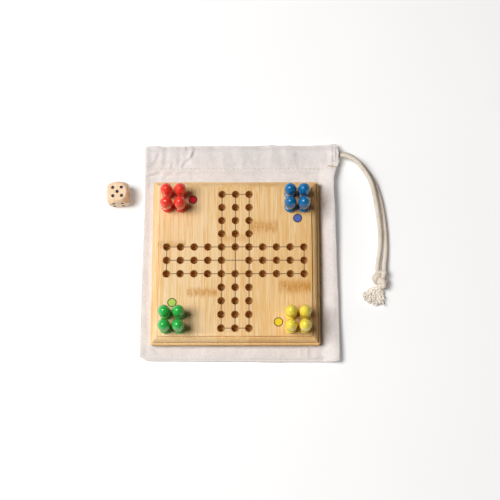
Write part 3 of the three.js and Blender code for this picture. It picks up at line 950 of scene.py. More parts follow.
def add_die():
    angles = np.linspace(POLE_GAP, math.pi - POLE_GAP, num=16)
    points, faces = lathe([(PIP_RADIUS * math.sin(a), -PIP_RADIUS * math.cos(a)) for a in angles], sides=28)
    balls = [(points + middle, faces) for middle in pip_middles()]
    cutter = add_piece("pip_cutter", *joined(balls), PIP_PAINT)
    die = cut(tidy(add_piece("wooden_die", *die_body(), DIE_WOOD), distance=1e-3), cutter)
    paint(die, (DIE_WOOD, PIP_PAINT), die_material)
    smooth(die, sharp_above=40)
    die.location = (DIE_LOW + DIE_HIGH) / 2 * MM
    die.rotation_euler = (0, 0, DIE_TURN)
    assign(die, "die", "die")


# Pouch

def ease(value, start, end, low=0, high=1):
    """A smooth step from low to high, between start and end."""
    t = np.clip((value - start) / (end - start), 0, 1)
    return low + (high - low) * t * t * (3 - 2 * t)


def hump(value, middle, width):
    """A smooth rise to 1 and back."""
    return np.exp(-((value - middle) / width) ** 2)


def read_off(table, place):
    """A value between the rows of a table of places and values."""
    places, values = np.array(table).T
    return np.interp(place, places, values)


# Waves of the cloth: height, shortest and longest, how many, seed of their draw, squeeze along X and Y
RIPPLE = (0.55, 8, 20, 10, 3, (1, 0.2))
PUCKER = (0.34, 5, 12, 10, 6, (1, 0.45))
SWELL = (0.28, 22, 60, 10, 4)
CRUMPLE = (0.09, 3.5, 8, 14, 5)
NEAR_LIFT_WAVES = (0.25, 25, 70, 5, 22)
NEAR_EDGE_WAVES = (0.18, 20, 60, 5, 8)
MOUTH_WAVES = (0.25, 9, 30, 6, 9)


def waves(x, y, height, shortest, longest, count, seed, squeeze=(1, 1)):
    """A smooth uneven surface, as a sum of waves in many directions."""
    draw = np.random.default_rng(seed)
    total = np.zeros(np.broadcast(x, y).shape)
    for _ in range(count):
        length = draw.uniform(shortest, longest)
        heading = draw.uniform(0, np.pi)
        phase = draw.uniform(0, 2 * np.pi)
        along = squeeze[0] * x * math.cos(heading) + squeeze[1] * y * math.sin(heading)
        total = total + np.sin(2 * np.pi * along / length + phase)
    return height * total / math.sqrt(2 * count)


def spread(y, run):
    return np.cos(np.pi / 2 * np.minimum(1, np.abs(y - run) / CLOTH_SPREAD)) ** 2


# At the open end of the hem the runs come together, the front one on the back one, at full thickness
GATHER_LENGTH = 10
GATHER_END = RIGHT - 2
BACK_GATHER = 1.8
END_TOP = 7.9
END_REACH = 4.4


def gather(x):
    return ease(x, RIGHT - GATHER_LENGTH, GATHER_END)


def back_run(x):
    return BACK_RUN - BACK_GATHER * gather(x)


def back_roof(x, y):
    """Top of the room for the cord between the back ply and its turned-in hem."""
    room = PRESSED_CORD + (CORD_DIAMETER - PRESSED_CORD) * gather(x) + CORD_GAP
    return CLOTH + PLY_GAP + room * spread(y, back_run(x))


def front_floor(x, y):
    """The upper side of the front ply's turned-in hem, which lies on the back one."""
    return back_roof(x, y) + 2 * CLOTH + PLY_GAP


# How far the seam at the right stands off the table, place by place along Y
RIGHT_LIFT = [
    (NEAR, 5.0), (-64, 5.0), (-51, 4.0), (-38, 3.5), (-17, 3.6), (6, 4.8), (25, 5.5), (47, 6.6),
    (MOUTH, 6.6),
]
RIGHT_LIFT_SPAN = (61.5, RIGHT - 4)
# The share of that lift that the hem holds down
HEM_HOLD = 0.75
HEM_HOLD_SPAN = (STITCH_LINE - 8, STITCH_LINE + 6)
NEAR_LIFT = 0.8
NEAR_LIFT_SPAN = (63, -NEAR)
LEFT_LIFT = 0.6
LEFT_LIFT_SPAN = (63.5, -LEFT)


def lift(x, y):
    """How far the cloth stands off the table at its edges: most along the thick seam at the right."""
    right = read_off(RIGHT_LIFT, y) * ease(x, *RIGHT_LIFT_SPAN)
    right = right * ease(y, *HEM_HOLD_SPAN, low=1, high=1 - HEM_HOLD)
    near = NEAR_LIFT * ease(-y, *NEAR_LIFT_SPAN) * (0.75 + waves(x, 0 * x, *NEAR_LIFT_WAVES))
    left = LEFT_LIFT * ease(-x, *LEFT_LIFT_SPAN)
    return np.maximum(0, np.maximum(right, np.maximum(near, left)))


# Creases: from, to, half width, height on the left of the line and height on its right
CREASES = [
    ((-34.4, 81.0), (-31.0, 88.8), 1.0, 0.8, -0.5),
    ((-39.4, 78.0), (-33.8, 82.2), 1.0, 0.45, -0.3),
    ((-41.4, 73.6), (-39.2, 79.0), 0.9, 0.45, -0.35),
    ((-49.8, 72.6), (-48.4, 77.6), 0.9, 0.4, -0.3),
    ((-37.8, 86.6), (-37.5, 91.0), 0.9, 0.45, -0.4),
    ((-63.0, 88.2), (-55.6, 90.6), 1.2, 0.5, -0.4),
    ((-60.5, 80.0), (-58.5, 86.5), 1.5, 0.4, -0.3),
    ((-64.0, 75.5), (-60.5, 80.5), 1.4, 0.4, -0.3),
    ((-68.4, 67.6), (-57.5, 71.0), 1.0, 0.75, -0.6),
    ((-55.5, 68.4), (-47.0, 70.8), 1.5, 0.5, -0.4),
    ((-47.5, 68.6), (-38.5, 71.4), 1.5, 0.45, -0.35),
    ((72.2, 75.0), (72.0, 90.5), 0.8, 0.4, -0.4),
    ((74.7, 77.0), (74.4, 89.0), 0.7, 0.3, -0.35),
    ((-64.0, -58.5), (-56.0, -67.5), 1.6, -0.35, 0.3),
    ((30.5, -62.5), (30.0, -70.0), 1.8, 0.3, 0.1),
    ((45.5, -62.5), (45.0, -70.0), 1.6, 0.35, -0.1),
    ((53.5, -62.0), (53.5, -69.5), 1.3, -0.15, 0.4),
    ((56.0, -69.8), (73.0, -68.2), 0.9, 0.5, -0.4),
]
# The shares of a crease's length over which it rises and dies away
CREASE_RISE = (-0.15, 0.3)
CREASE_FALL = (0.7, 1.15)


def creased(x, y):
    total = np.zeros(np.broadcast(x, y).shape)
    for start, end, width, left, right in CREASES:
        start, end = np.array(start), np.array(end)
        run = (end - start) / np.linalg.norm(end - start)
        along = ((x - start[0]) * run[0] + (y - start[1]) * run[1]) / np.linalg.norm(end - start)
        off = (-(x - start[0]) * run[1] + (y - start[1]) * run[0]) / width
        ends = ease(along, *CREASE_RISE) * ease(along, *CREASE_FALL, low=1, high=0)
        side = np.where(off > 0, left, right) * np.abs(off) * np.exp(0.5 - off * off / 2)
        total = total + ends * side
    return total


FRONT_PLY_TOP = 2 * CLOTH + POUCH_SLACK
HEM_BASE = 2.45
HEM_RISE = 4
HEM_SLOPE_EASE = 0.4
# The stretch over which the cloth turns down at the mouth
MOUTH_TURN = (BACK_RUN - 0.6, MOUTH + 0.8)
SEAM_ROUND = 0.8
BACK_LEVEL = 0.06
# The least room between the outer ply and the turned-in hem below it
STITCH_DIP = 0.05


def hem_level(x, y):
    """The hem's upper side: an even slope from its stitches up to the cords, then down over the mouth."""
    share = np.clip((y - STITCH_LINE) / (FRONT_RUN - STITCH_LINE), 0, 1)
    slope = share - HEM_SLOPE_EASE * np.sin(2 * np.pi * share) / (2 * np.pi)
    base = FRONT_PLY_TOP + (HEM_BASE - FRONT_PLY_TOP) * ease(y, HEM_EDGE - HEM_RISE, HEM_EDGE)
    level = base + (HEM_TOP - HEM_BASE) * slope
    level = level - (HEM_TOP - MOUTH_TOP) * ease(y, *MOUTH_TURN)
    return level + (END_TOP - HEM_TOP) * gather(x) * hump(y, FRONT_RUN, END_REACH)


# How deep the stitches pull the cloth in, and the line and half width of that dip
STITCH_PULL = 0.45
STITCH_PULL_AT = (STITCH_LINE, 0.9)
# Where the cloth comes free of the board's weight
FREE_SPAN = (BOARD_HALF - 1, BOARD_HALF + 3)
# Where the hem's ripples begin, where it puckers, and where the cloth climbs on the turned-in hem
HEM_SPAN = (STITCH_LINE - 2, STITCH_LINE + 5)
PUCKER_SPAN = (15, 50)
CLIMB_SPAN = (HEM_EDGE - 1.2, HEM_EDGE - 0.2)
# The ridge along the right edge: height, place and half width, start and end
RIDGE_HEIGHT = 0.16
RIDGE = (RIGHT - 5.6, 0.6)
RIDGE_START = (-66, -50)
RIDGE_END = (25, 45)


def front_skin(x, y):
    """Height of the pouch's upper side."""
    level = hem_level(x, y) - STITCH_PULL * hump(y, *STITCH_PULL_AT)
    loose = np.maximum(ease(np.abs(x), *FREE_SPAN), ease(np.abs(y), *FREE_SPAN))
    to_left = ease(-x, *PUCKER_SPAN, low=0.25)
    in_hem = ease(y, *HEM_SPAN) * (waves(x, y, *RIPPLE) + waves(x, y, *PUCKER) * to_left)
    moved = in_hem + waves(x, y, *SWELL) + waves(x, y, *CRUMPLE) + creased(x, y)
    ridge = RIDGE_HEIGHT * hump(x, *RIDGE) * ease(y, *RIDGE_START) * ease(y, *RIDGE_END, low=1, high=0)
    skin = level + loose * (moved + ridge)
    over_hem = ease(y, *CLIMB_SPAN) * (front_floor(x, y) + CLOTH + STITCH_DIP)
    return np.maximum(skin, over_hem) + lift(x, y)


# The groove of the seam at the near edge, and the swell of the upper ply behind it
GROOVE_DIP = 0.55
GROOVE_HALF = 0.38
PLY_SWELL = 0.25
PLY_SWELL_HALF = 0.9
PLY_SWELL_BEHIND = 1.3


def near_seam(x, distance):
    """How the seam at the near edge is rolled: a rim, a groove that deepens to the right, and a swell."""
    groove = ease(x, -45, 45, low=0.8, high=1.6)
    depth = GROOVE_DIP * ease(x, -30, 40, low=0.45)
    swell = PLY_SWELL * hump(distance, groove + PLY_SWELL_BEHIND, PLY_SWELL_HALF)
    return swell - depth * hump(distance, groove, GROOVE_HALF)


# The corners at the near edge, and how far the seam's turn insets the right one
LEFT_CORNER = 8
LEFT_CORNER_SHARE = 0.4
RIGHT_CORNER = 1.6
RIGHT_CORNER_INSET = 2.0


def rounded_corner(distance, radius):
    """How far a round corner draws an edge in, at a distance from the side."""
    return radius - np.sqrt(np.maximum(0, radius ** 2 - np.maximum(0, radius - distance) ** 2))


def outline_near(x):
    left = LEFT_CORNER_SHARE * rounded_corner(x - LEFT, LEFT_CORNER)
    right = rounded_corner(RIGHT - RIGHT_CORNER_INSET - x, RIGHT_CORNER)
    bow = ease(x, -30, 40, low=0.4)
    return NEAR - bow + left + right + waves(x, 0 * x, *NEAR_EDGE_WAVES)


# The right edge: how far it lies inside the pouch's box, place by place along Y
RIGHT_EDGE = [
    (NEAR, 1.8), (-57, 1.7), (-27, 1.9), (3, 2.8), (26, 3.0), (41, 3.3), (56, 4.0), (65, 3.9), (69.5, 2.6),
    (72.5, 1.7), (76, 0.7), (79, 0.4), (84, 0.5), (87, 0.9), (MOUTH, 1.8),
]
# The left edge: how far it lies outside the pouch's box
LEFT_EDGE = [(NEAR, 1.5), (-57, 1.8), (-20, 1.7), (26, 1.1), (50, 0.8), (70, 1.3), (MOUTH, 1.5)]


def outline_left(y):
    return LEFT - read_off(LEFT_EDGE, y)


def outline_right(y):
    return RIGHT - read_off(RIGHT_EDGE, y)


# Depth, place and half width of a notch in the mouth's edge and of the round end of the side fold
NOTCH_DEPTH = 0.8
NOTCH = (-56, 2.2)
FOLD_END_DEPTH = 1.3
FOLD_END = (LEFT - 1.6, 1.3)


def outline_mouth(x):
    notch = NOTCH_DEPTH * hump(x, *NOTCH)
    bow = ease(x, -45, -15, low=1.3, high=1.65) + ease(x, 55, 74, high=0.3)
    fold_end = FOLD_END_DEPTH * hump(x, *FOLD_END)
    uneven = waves(x, 0 * x, *MOUTH_WAVES) * ease(x, LEFT, LEFT + 8)
    return MOUTH + bow - fold_end - notch + uneven


def edge_factor(distance, radius):
    """How far a rounded edge has opened, from 0 at the edge to 1."""
    return np.sqrt(np.clip(1 - (1 - np.clip(distance / radius, 0, 1)) ** 2, 0, 1))


CLOTH_STEP = 0.8
# Near an edge the points come closer together, at these shares of a band
EDGE_BAND = 3
CLOSE_SHARES = np.array([0, 0.02, 0.06, 0.12, 0.2, 0.3, 0.42, 0.56, 0.72, 0.88])
# How far from its near edge and its mouth the outline pulls the cloth
NEAR_PULL = 14
MOUTH_PULL = 9
# The fold at the mouth: where it starts, its steps and its least bulge
FOLD_FROM_MOUTH = 0.5
FOLD_STEPS = 6
LEAST_BULGE = 0.5
# The turned-in hem: its side fold, its inset at the right and its rows
INNER_FOLD = 4.5
INNER_INSET = 0.3
INNER_ROWS = 18
# Above this line the right side is open, so its seam counts as far away
OPEN_FROM = HEM_EDGE - 0.5
OPEN_DISTANCE = 99
SEAM_FADE = 3


def spaced(start, end):
    """Places from start to end, closer together near both ends."""
    middle = np.linspace(start + EDGE_BAND, end - EDGE_BAND, int((end - start) / CLOTH_STEP))
    return np.concatenate([start + EDGE_BAND * CLOSE_SHARES, middle, end - EDGE_BAND * CLOSE_SHARES[::-1]])


def pinched(front, back, roundness):
    """Two plies, brought together where their roundness goes to nothing."""
    middle = (front + back) / 2
    return middle + (front - middle) * roundness, middle + (back - middle) * roundness


def outer_plies(share, rows):
    """The front and the back ply, from the near seam to the mouth, as grids of points."""
    x_share, y = np.meshgrid(share, rows)
    x = outline_left(y) + x_share * (outline_right(y) - outline_left(y))
    y = y + (outline_near(x) - NEAR) * ease(y, NEAR, NEAR + NEAR_PULL, low=1, high=0)
    y = y + (outline_mouth(x) - MOUTH) * ease(y, MOUTH - MOUTH_PULL, MOUTH)
    front = front_skin(x, y)
    back = BACK_LEVEL + lift(x, y)
    near_gap = y - outline_near(x)
    right_gap = np.where(y < OPEN_FROM, outline_right(y) - x, OPEN_DISTANCE)
    left_round = np.maximum(SEAM_ROUND, (front - back) / 2)
    roundness = edge_factor(x - outline_left(y), left_round) * edge_factor(near_gap, SEAM_ROUND)
    roundness = roundness * edge_factor(right_gap, SEAM_ROUND)
    front = front + near_seam(x, near_gap) * edge_factor(right_gap, SEAM_FADE)
    return [np.dstack([x, y, z]) for z in pinched(front, back, roundness)]


def inner_hems(share, start):
    """The turned-in hems of both plies, from the mouth to their free edges, as grids of points."""
    x_share, y = np.meshgrid(share, np.linspace(start, HEM_EDGE, INNER_ROWS))
    fold = LEFT + INNER_FOLD
    x = fold + x_share * (outline_right(y) - INNER_INSET - fold)
    front = front_floor(x, y) - CLOTH + lift(x, y)
    back = back_roof(x, y) + CLOTH + lift(x, y)
    return [np.dstack([x, y, z]) for z in pinched(front, back, edge_factor(x - fold, SEAM_ROUND))]


def folded(outer, inner):
    """Points and faces of one ply, its rounded fold at the mouth and its hem."""
    fold = []
    bulge = np.maximum(outline_mouth(outer[-1, :, 0]) - outer[-1, :, 1], LEAST_BULGE)
    for step in range(1, FOLD_STEPS):
        turn = math.pi * step / FOLD_STEPS
        mixed = outer[-1] + (inner[0] - outer[-1]) * (1 - math.cos(turn)) / 2
        mixed[:, 1] += bulge * math.sin(turn)
        fold.append(mixed)
    grid = np.concatenate([outer, np.array(fold), inner])
    return grid.reshape(-1, 3), grid_faces(*grid.shape[:2])


def add_pouch():
    """Both plies of the cloth and the turned-in hem of each, welded at the side fold and at the seams."""
    share = (spaced(LEFT, RIGHT) - LEFT) / (RIGHT - LEFT)
    rows = spaced(NEAR, MOUTH)
    rows = rows[rows < MOUTH - FOLD_FROM_MOUTH]
    plies = [folded(*grids) for grids in zip(outer_plies(share, rows), inner_hems(share, rows[-1]))]
    pouch = tidy(add_piece("cotton_pouch", *joined(plies), COTTON), distance=2e-3)
    thick = pouch.modifiers.new("cloth", "SOLIDIFY")
    thick.thickness = CLOTH * MM
    thick.offset = -1
    bake_modifiers(pouch)
    return assign(smooth(pouch, sharp_above=60), "pouch", "pouch")


STITCH_PITCH = 3.2
STITCH_LENGTH = 2.2
STITCH_RISE = 0.46
STITCH_SINK = 0.16
# How far a stitch of the hem slants, and how that varies along the hem
SLANT = 0.2
SLANT_CHANGE = 0.12
SLANT_RATE = 1.7
# The ends of the hem's row of stitches, and of the short row at the right that closes it
HEM_STITCHES = (LEFT + 2.5, RIGHT - 4)
END_STITCHES = (STITCH_LINE + 4, MOUTH - 2)
END_ROW = (RIGHT - 5.2, RIGHT - 5.0)
THREAD_DIAMETER = 0.62
THREAD_STEP = 0.25
# Painted shade between the hem's stitches: its width, and its gap to the stitch on either side
NEEDLE_SHADE_WIDTH = 0.6
NEEDLE_GAP = 0.1
# A loose thread takes its height from the cloth no closer than this to the right edge
THREAD_INSET = 0.6


def skin_at(x, y):
    return float(front_skin(np.array([x]), np.array([y]))[0])


def stitch(start, end):
    """One stitch that rises out of the cloth and goes in again."""
    path = []
    for t in np.linspace(0, 1, num=7):
        x, y = np.array(start) + (np.array(end) - np.array(start)) * t
        path.append([x, y, skin_at(x, y) + STITCH_RISE * math.sin(math.pi * t) - STITCH_SINK])
    return tube(path, THREAD_DIAMETER / 2, sides=6)


def needle_shade(start, end):
    """Painted shade between two stitches of the hem: a darker tube laid in the cloth where the thread goes
    down into it.
    """
    path = [[x, STITCH_LINE, skin_at(x, STITCH_LINE)] for x in np.linspace(start, end, 4)]
    return tube(path, NEEDLE_SHADE_WIDTH / 2, 8)


def add_stitches():
    parts, holes = [], []
    for start in np.arange(*HEM_STITCHES, STITCH_PITCH):
        end = start + STITCH_LENGTH
        slant = SLANT + SLANT_CHANGE * math.sin(start * SLANT_RATE)
        parts.append(stitch((start, STITCH_LINE - slant), (end, STITCH_LINE + slant)))
        # the painted shade between this stitch and the next
        holes.append(needle_shade(end + NEEDLE_GAP, start + STITCH_PITCH - NEEDLE_GAP))
    for start in np.arange(*END_STITCHES, STITCH_PITCH):
        parts.append(stitch((END_ROW[0], start), (END_ROW[1], start + STITCH_LENGTH)))
    sewn = len(joined(parts)[1])
    stitches = smooth(add_piece("pouch_stitches", *joined(parts + holes), COTTON_THREAD), sharp_above=60)
    # The faces after the stitches take the darker material of the painted shade
    paint_rest(stitches, NEEDLE_SHADE, sewn)
    return assign(stitches, "pouch")


# Loose ends of thread at the hem's corner: place in from the right edge, place up from the stitches, height
# above the cloth
LOOSE_OCHRE = [(-8.4, 1.2, 0.2), (-6.6, 0.9, 0.5), (-4.9, 0.6, 0.35), (-3.3, 0.1, 0.5), (-1.9, -0.4, 0.3)]
LOOSE_CREAM = [
    [(-2.6, 3.4, 0.1), (-1.6, 2.6, 0.6), (-0.9, 1.8, 0.5), (-1.5, 1.0, 0.4), (-2.3, 0.6, 0.2)],
    [(-1.5, 5.6, 0.3), (-0.3, 4.9, 0.5), (0.1, 4.0, 0.2), (-0.5, 3.2, 0.2), (-1.2, 3.0, 0.1)],
]


def add_loose_threads(name, routes, material):
    parts = []
    for route in routes:
        path = []
        for x, y, height in route:
            cloth = skin_at(min(RIGHT + x, RIGHT - THREAD_INSET), STITCH_LINE + y)
            path.append([RIGHT + x, STITCH_LINE + y, cloth + height])
        parts.append(tube(spline(path, THREAD_STEP), THREAD_DIAMETER / 2, sides=8))
    threads = smooth(add_piece(name, *joined(parts), material), sharp_above=60)
    return assign(threads, "pouch")


# Drawstring

LYING = CORD_DIAMETER / 2 + CORD_GAP
# The free strands, from the right end of the pouch's mouth
FRONT_STRAND = [
    [-0.6, -6.7, 5.4], [2.8, -7.2, 6.0], [5.6, -8.1, 6.6], [8.4, -9.3, 7.0], [11.2, -11.0, 7.3],
    [14.1, -13.4, 7.5], [16.7, -16.7, 7.4], [20.6, -22.8, 7.2], [23.7, -29.2, 7.0], [25.7, -37.5, 6.7],
    [27.4, -47.5, 6.3], [28.8, -58.1, 5.6], [29.7, -70.4, 4.6], [29.0, -80.5, 3.8], [27.9, -86.8, 3.5],
    [27.2, -91.3, 3.7], [26.9, -94.8, 4.2], [27.0, -97.0, 4.5],
]
BACK_STRAND = [
    [-0.6, -5.0, 2.4], [3.0, -5.1, 2.5], [6.0, -5.7, 2.4], [10.1, -7.7, 2.3], [14.5, -11.2, 2.2],
    [18.6, -15.7, LYING], [22.9, -21.8, LYING], [26.5, -28.0, LYING], [29.2, -36.3, LYING],
    [31.4, -46.4, LYING], [32.8, -57.3, LYING], [33.6, -69.9, LYING], [33.5, -80.5, LYING],
    [32.9, -86.8, 2.4], [32.3, -91.3, 2.9], [31.9, -94.8, 3.6], [31.7, -96.8, 4.0],
]
BRAID_CARRIERS = 8
BRAID_LAY = 8.0
BRAID_RELIEF = 0.26
BRAID_SIDES = 48
BRAID_STEP = 0.22
# How round a yarn of the braid is across itself, and how far it dives where another crosses over
YARN_ROUND = 0.8
YARN_DIVE = 0.35


def braid(path, radius):
    """A round braid along a path: two sets of yarns wind opposite ways, over and under each other."""
    angles = np.linspace(0, 1, BRAID_SIDES, endpoint=False)
    turn, run = np.meshgrid(angles * BRAID_CARRIERS, lengths_along(path) * BRAID_CARRIERS / BRAID_LAY)
    right, left = turn + run, turn - run
    right_over = (np.floor(right) + np.floor(left)) % 2 == 0
    across = 2 * np.where(right_over, right % 1, left % 1) - 1
    along = 2 * np.where(right_over, left % 1, right % 1) - 1
    height = np.sqrt(1 - YARN_ROUND * across ** 2) * (1 - YARN_DIVE * along ** 2)
    return tube(path, radius - BRAID_RELIEF + BRAID_RELIEF * height, BRAID_SIDES)


def add_strand(name, node, route):
    path = spline(MOUTH_CORNER + route, BRAID_STEP)
    strand = smooth(add_piece(name, *braid(path, CORD_DIAMETER / 2), CORD))
    assign(strand, "pouch", node)
    return strand


CHANNEL_STEP = 0.5
CHANNEL_EASE = 4
# Where the hidden run meets each free strand: a little overlap, and a point that leads into the hem
OVERLAP = [-0.3, 0, 0]
FRONT_LEAD = [-3, -0.1, -0.5]
BACK_LEAD = [-3, 0.1, 0]


def channel_path():
    """The hidden run: in along the front, half round in the side fold, and out along the back."""
    front_end, back_end = MOUTH_CORNER + FRONT_STRAND[0], MOUTH_CORNER + BACK_STRAND[0]
    front_level = float(front_floor(np.array(0.0), FRONT_RUN)) + PLY_GAP + PRESSED_CORD / 2
    front = np.array([0, FRONT_RUN, front_level])
    back = np.array([0, BACK_RUN, CLOTH + PLY_GAP + PRESSED_CORD / 2])
    radius = np.linalg.norm(front - back) / 2
    turn_at = LEFT + INNER_FOLD - radius
    straight = np.linspace(RIGHT - GATHER_LENGTH - CHANNEL_EASE, turn_at + CHANNEL_EASE, num=5)
    path = [front_end + OVERLAP, front_end + FRONT_LEAD]
    path += [front + [x, 0, 0] for x in straight]
    for angle in np.linspace(0, np.pi, num=13):
        middle = (front + back) / 2 + (front - back) * math.cos(angle) / 2
        path.append(middle + [turn_at - radius * math.sin(angle), 0, 0])
    path += [back + [x, 0, 0] for x in straight[::-1]]
    path += [back_end + BACK_LEAD, back_end + OVERLAP]
    return spline(path, CHANNEL_STEP)


def add_channel_cord():
    path = channel_path()
    thick = PRESSED_CORD + (CORD_DIAMETER - PRESSED_CORD) * gather(path[:, 0])
    cord = smooth(add_piece("channel_cord", *braid(path, thick[:, None] / 2), CORD))
    return assign(cord, "pouch", "drawstring_channel_run")


KNOT_POINTS = 90
KNOT_CORD = 2.6
# The knot before it is drawn tight: its size, its loop, its tail and how far each cord lies to the side
LOOSE_SIZE = 5
LOOP_OPENING = 0.6
LOOSE_TAIL = np.array([[7, -2.6, 0], [3, -2.6, 0]])
SIDE_BY_SIDE = 0.55
# Each round pulls the cords straighter and pushes overlapping ones apart
KNOT_ROUNDS = 900
PULL = 0.3
PUSHES = 3
PUSH = 0.2
# Points of one cord closer along it than this many thicknesses don't push each other
NEIGHBOURS = 1.6
NO_DISTANCE = 1e-9


def loose_knot():
    """Two cords side by side in an overhand knot with wide loops."""
    turn = np.linspace(np.pi + LOOP_OPENING, 3 * np.pi - LOOP_OPENING, num=60)
    loop = np.column_stack([np.sin(turn) + 2 * np.sin(2 * turn), np.cos(turn) - 2 * np.cos(2 * turn),
                            -np.sin(3 * turn)])
    centre = np.vstack([LOOSE_TAIL, loop, LOOSE_TAIL[::-1] * [-1, 1, 1]]) * LOOSE_SIZE
    across = unit(np.cross(np.gradient(centre, axis=0), [0, 0, 1]))
    return [evenly(centre + side * across * KNOT_CORD * SIDE_BY_SIDE, KNOT_POINTS) for side in (-1, 1)]


def pushed_apart(cords):
    """The cords with each point moved away from those that it overlaps."""
    points = np.concatenate(cords)
    gap = points[:, None] - points[None]
    distance = np.linalg.norm(gap, axis=2) + NO_DISTANCE
    step = np.linalg.norm(cords[0][1] - cords[0][0])
    index = np.arange(KNOT_POINTS)
    near = np.abs(index[:, None] - index[None]) * step < NEIGHBOURS * KNOT_CORD
    skip = np.block([[near, np.zeros_like(near)], [np.zeros_like(near), near]])
    overlap = np.where(skip, 0, np.maximum(0, KNOT_CORD - distance))
    points = points + PUSH * (gap / distance[..., None] * overlap[..., None]).sum(axis=1)
    return [points[:KNOT_POINTS].copy(), points[KNOT_POINTS:].copy()]


def tight_knot():
    """The loose knot drawn in until the cords touch, with its four ends held."""
    cords = loose_knot()
    ends = [(cord[0].copy(), cord[-1].copy()) for cord in cords]
    for _ in range(KNOT_ROUNDS):
        for cord in cords:
            cord[1:-1] += PULL * (cord[:-2] + cord[2:] - 2 * cord[1:-1])
        cords = [evenly(cord, KNOT_POINTS) for cord in cords]
        for _ in range(PUSHES):
            cords = pushed_apart(cords)
            for cord, (first, last) in zip(cords, ends):
                cord[0], cord[-1] = first, last
    return cords


KNOT_ROLL = math.radians(120)
KNOT_TUBE = 2.0
KNOT_WIDTH = 10.9
KNOT_HEIGHT = 8.6
KNOT_ABOVE = 6.2
KNOT_BELOW = 7.0
KNOT_SHIFT = (-0.65, -1.0)
KNOT_TILT = math.radians(22)
KNOT_CLEARANCE = 0.1
# A cord that bends more than this from point to point belongs to the knot, and not to its ends
KNOT_BEND = 0.02
# Heights above the knot's middle from which the tilt fades and the cords reach for the strands
TILT_FADE = 2.5
REACH_FROM = 2


def knot_place():
    """The middle of the drawn knot, a little nearer and to the left of its solid's."""
    place = (KNOT_LOW + KNOT_HIGH) / 2
    place[:2] += KNOT_SHIFT
    place[2] = KNOT_HEIGHT / 2 + KNOT_CLEARANCE
    return place


def top_x(cord):
    return cord[cord[:, 1].argmax(), 0]


def rolled(cord):
    """A cord of the knot laid along Y and rolled about it."""
    x, y, z = -cord[:, 1], cord[:, 0], cord[:, 2]
    cos, sin = math.cos(KNOT_ROLL), math.sin(KNOT_ROLL)
    return np.column_stack([x * cos + z * sin, y, -x * sin + z * cos])


def tilted(cord):
    """Turns the knot about Z, most in its middle."""
    turn = ease(np.abs(cord[:, 1]), TILT_FADE, KNOT_ABOVE, low=KNOT_TILT, high=0)
    x = cord[:, 0] * np.cos(turn) - cord[:, 1] * np.sin(turn)
    y = cord[:, 0] * np.sin(turn) + cord[:, 1] * np.cos(turn)
    return np.column_stack([x, y, cord[:, 2]])


def add_knot():
    """The knot that stands for its solid: rolled to its side, pressed a little flat and cut free."""
    cords = [rolled(cord) for cord in tight_knot()]
    bends = [np.linalg.norm(cord[2:] + cord[:-2] - 2 * cord[1:-1], axis=1) for cord in cords]
    bent = np.concatenate([cord[1:-1][bend > KNOT_BEND] for cord, bend in zip(cords, bends)])
    low, high = bent.min(axis=0), bent.max(axis=0)
    wide, _, tall = high - low
    press = np.array([(KNOT_WIDTH - 2 * KNOT_TUBE) / wide, 1, (KNOT_HEIGHT - 2 * KNOT_TUBE) / tall])
    place = knot_place()
    parts = []
    for cord, strand in zip(sorted(cords, key=top_x), (FRONT_STRAND, BACK_STRAND)):
        kept = tilted((cord - (low + high) / 2) * press)
        kept = kept[(kept[:, 1] < KNOT_ABOVE) & (kept[:, 1] > -KNOT_BELOW)]
        miss = MOUTH_CORNER + strand[-1] - place - kept[kept[:, 1].argmax()]
        kept = kept + ease(kept[:, 1], REACH_FROM, KNOT_ABOVE)[:, None] * miss
        parts.append(braid(spline(kept + place, BRAID_STEP), KNOT_TUBE))
    knot = smooth(add_piece("cord_knot", *joined(parts), CORD))
    return assign(knot, "pouch", "drawstring_knot")


TASSEL_CLUMPS = 30
TASSEL_YARNS = 8
TASSEL_HEADING = 240
TASSEL_SPREAD = 65
TASSEL_LENGTH = 13.6
TASSEL_NECK = 5.0
TASSEL_HEAP = 3.6
YARN_DIAMETER = 0.62
YARN_CRIMP = 0.5
CRIMP_LENGTH = 3.2
YARN_STEP = 0.4
# No yarn's middle comes closer to the table than this
YARN_LOW = 0.4
YARN_FALL = 1.6
# The tassel's root, from the middle of the knot
TASSEL_ROOT = [-1.1, -5.4, 0]


def yarn_path(begin, heading, out, bow, level, phase):
    """One crimped yarn that comes down to its level and bows to one side."""
    path = []
    for t in np.linspace(0, 1, num=30):
        wave = 2 * math.pi * out * t / CRIMP_LENGTH + phase
        crimp = YARN_CRIMP * min(1, 3 * t)
        sway = bow * math.sin(math.pi * t) + crimp * math.sin(wave)
        x = begin[0] + out * t * math.cos(heading) - sway * math.sin(heading)
        y = begin[1] + out * t * math.sin(heading) + sway * math.cos(heading)
        high = (1 - t) ** YARN_FALL
        z = begin[2] * high + level * (1 - high) + crimp * math.cos(wave)
        path.append([x, y, max(z, YARN_LOW)])
    return spline(path, YARN_STEP)


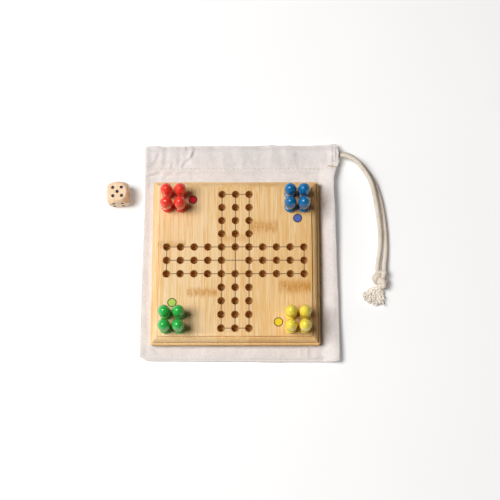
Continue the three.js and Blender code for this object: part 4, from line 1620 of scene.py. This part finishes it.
def add_tassel():
    """The frayed end below the knot: clumps of crimped yarns that fan out over the table."""
    draw = np.random.default_rng(11)
    root = knot_place() + TASSEL_ROOT
    parts = []
    for clump in range(TASSEL_CLUMPS):
        share = (clump + draw.uniform(0.1, 0.9)) / TASSEL_CLUMPS - 0.5
        heading = math.radians(TASSEL_HEADING + TASSEL_SPREAD * share)
        reach = TASSEL_LENGTH * draw.uniform(0.78, 1.0)
        start = root + [TASSEL_NECK * share, draw.uniform(-0.4, 0.4), draw.uniform(-2.2, 0.6)]
        rest = draw.uniform(YARN_LOW, TASSEL_HEAP)
        bow = draw.uniform(-1.1, 1.1)
        for yarn in range(TASSEL_YARNS):
            turn = heading + draw.uniform(-0.17, 0.17)
            out = reach * draw.uniform(0.72, 1.0)
            begin = start + draw.uniform(-0.6, 0.6, 3)
            level = max(YARN_LOW, rest + draw.uniform(-0.9, 0.9))
            phase = draw.uniform(0, 2 * math.pi)
            path = yarn_path(begin, turn, out, bow, level, phase)
            parts.append(tube(path, YARN_DIAMETER / 2 * draw.uniform(0.75, 1.2), sides=6))
    tassel = smooth(add_piece("cord_tassel", *joined(parts), YARN), sharp_above=60)
    return assign(tassel, "pouch", "drawstring_tassel")


add_camera()
add_lights()
add_floor()

BAMBOO = bamboo_finish()
DRILLED = drilled_finish()
SCORCHED = line_finish()
DIE_WOOD = die_finish()
PIP_PAINT = pip_finish()
COTTON = cotton_finish("cotton_cloth", (0.845, 0.79, 0.765), (0.735, 0.68, 0.655), 0.7)
COTTON_THREAD = thread_finish("cotton_thread", (0.95, 0.89, 0.80))
OCHRE_THREAD = thread_finish("ochre_thread", (0.56, 0.37, 0.15))
# Painted shade for the marks between the hem's stitches
NEEDLE_SHADE = thread_finish("painted_needle_shade", (0.80, 0.68, 0.54))
CORD = cotton_finish("cotton_cord", (0.845, 0.765, 0.67), (0.71, 0.605, 0.49), 0.55)
YARN = cotton_finish("cotton_yarn", (0.98, 0.94, 0.87), (0.94, 0.84, 0.70), 0.4)

knot = add_knot()
tassel = add_tassel()
add_strand("front_strand", "drawstring_front_strand", FRONT_STRAND)
add_strand("back_strand", "drawstring_back_strand", BACK_STRAND)
add_channel_cord()
pouch = add_pouch()
sewing = [
    add_stitches(),
    add_loose_threads("ochre_thread", [LOOSE_OCHRE], OCHRE_THREAD),
    add_loose_threads("cream_threads", LOOSE_CREAM, COTTON_THREAD),
]
add_board()
add_dots()
add_pegs()
add_die()

bpy.context.scene.view_settings.view_transform = "Standard"
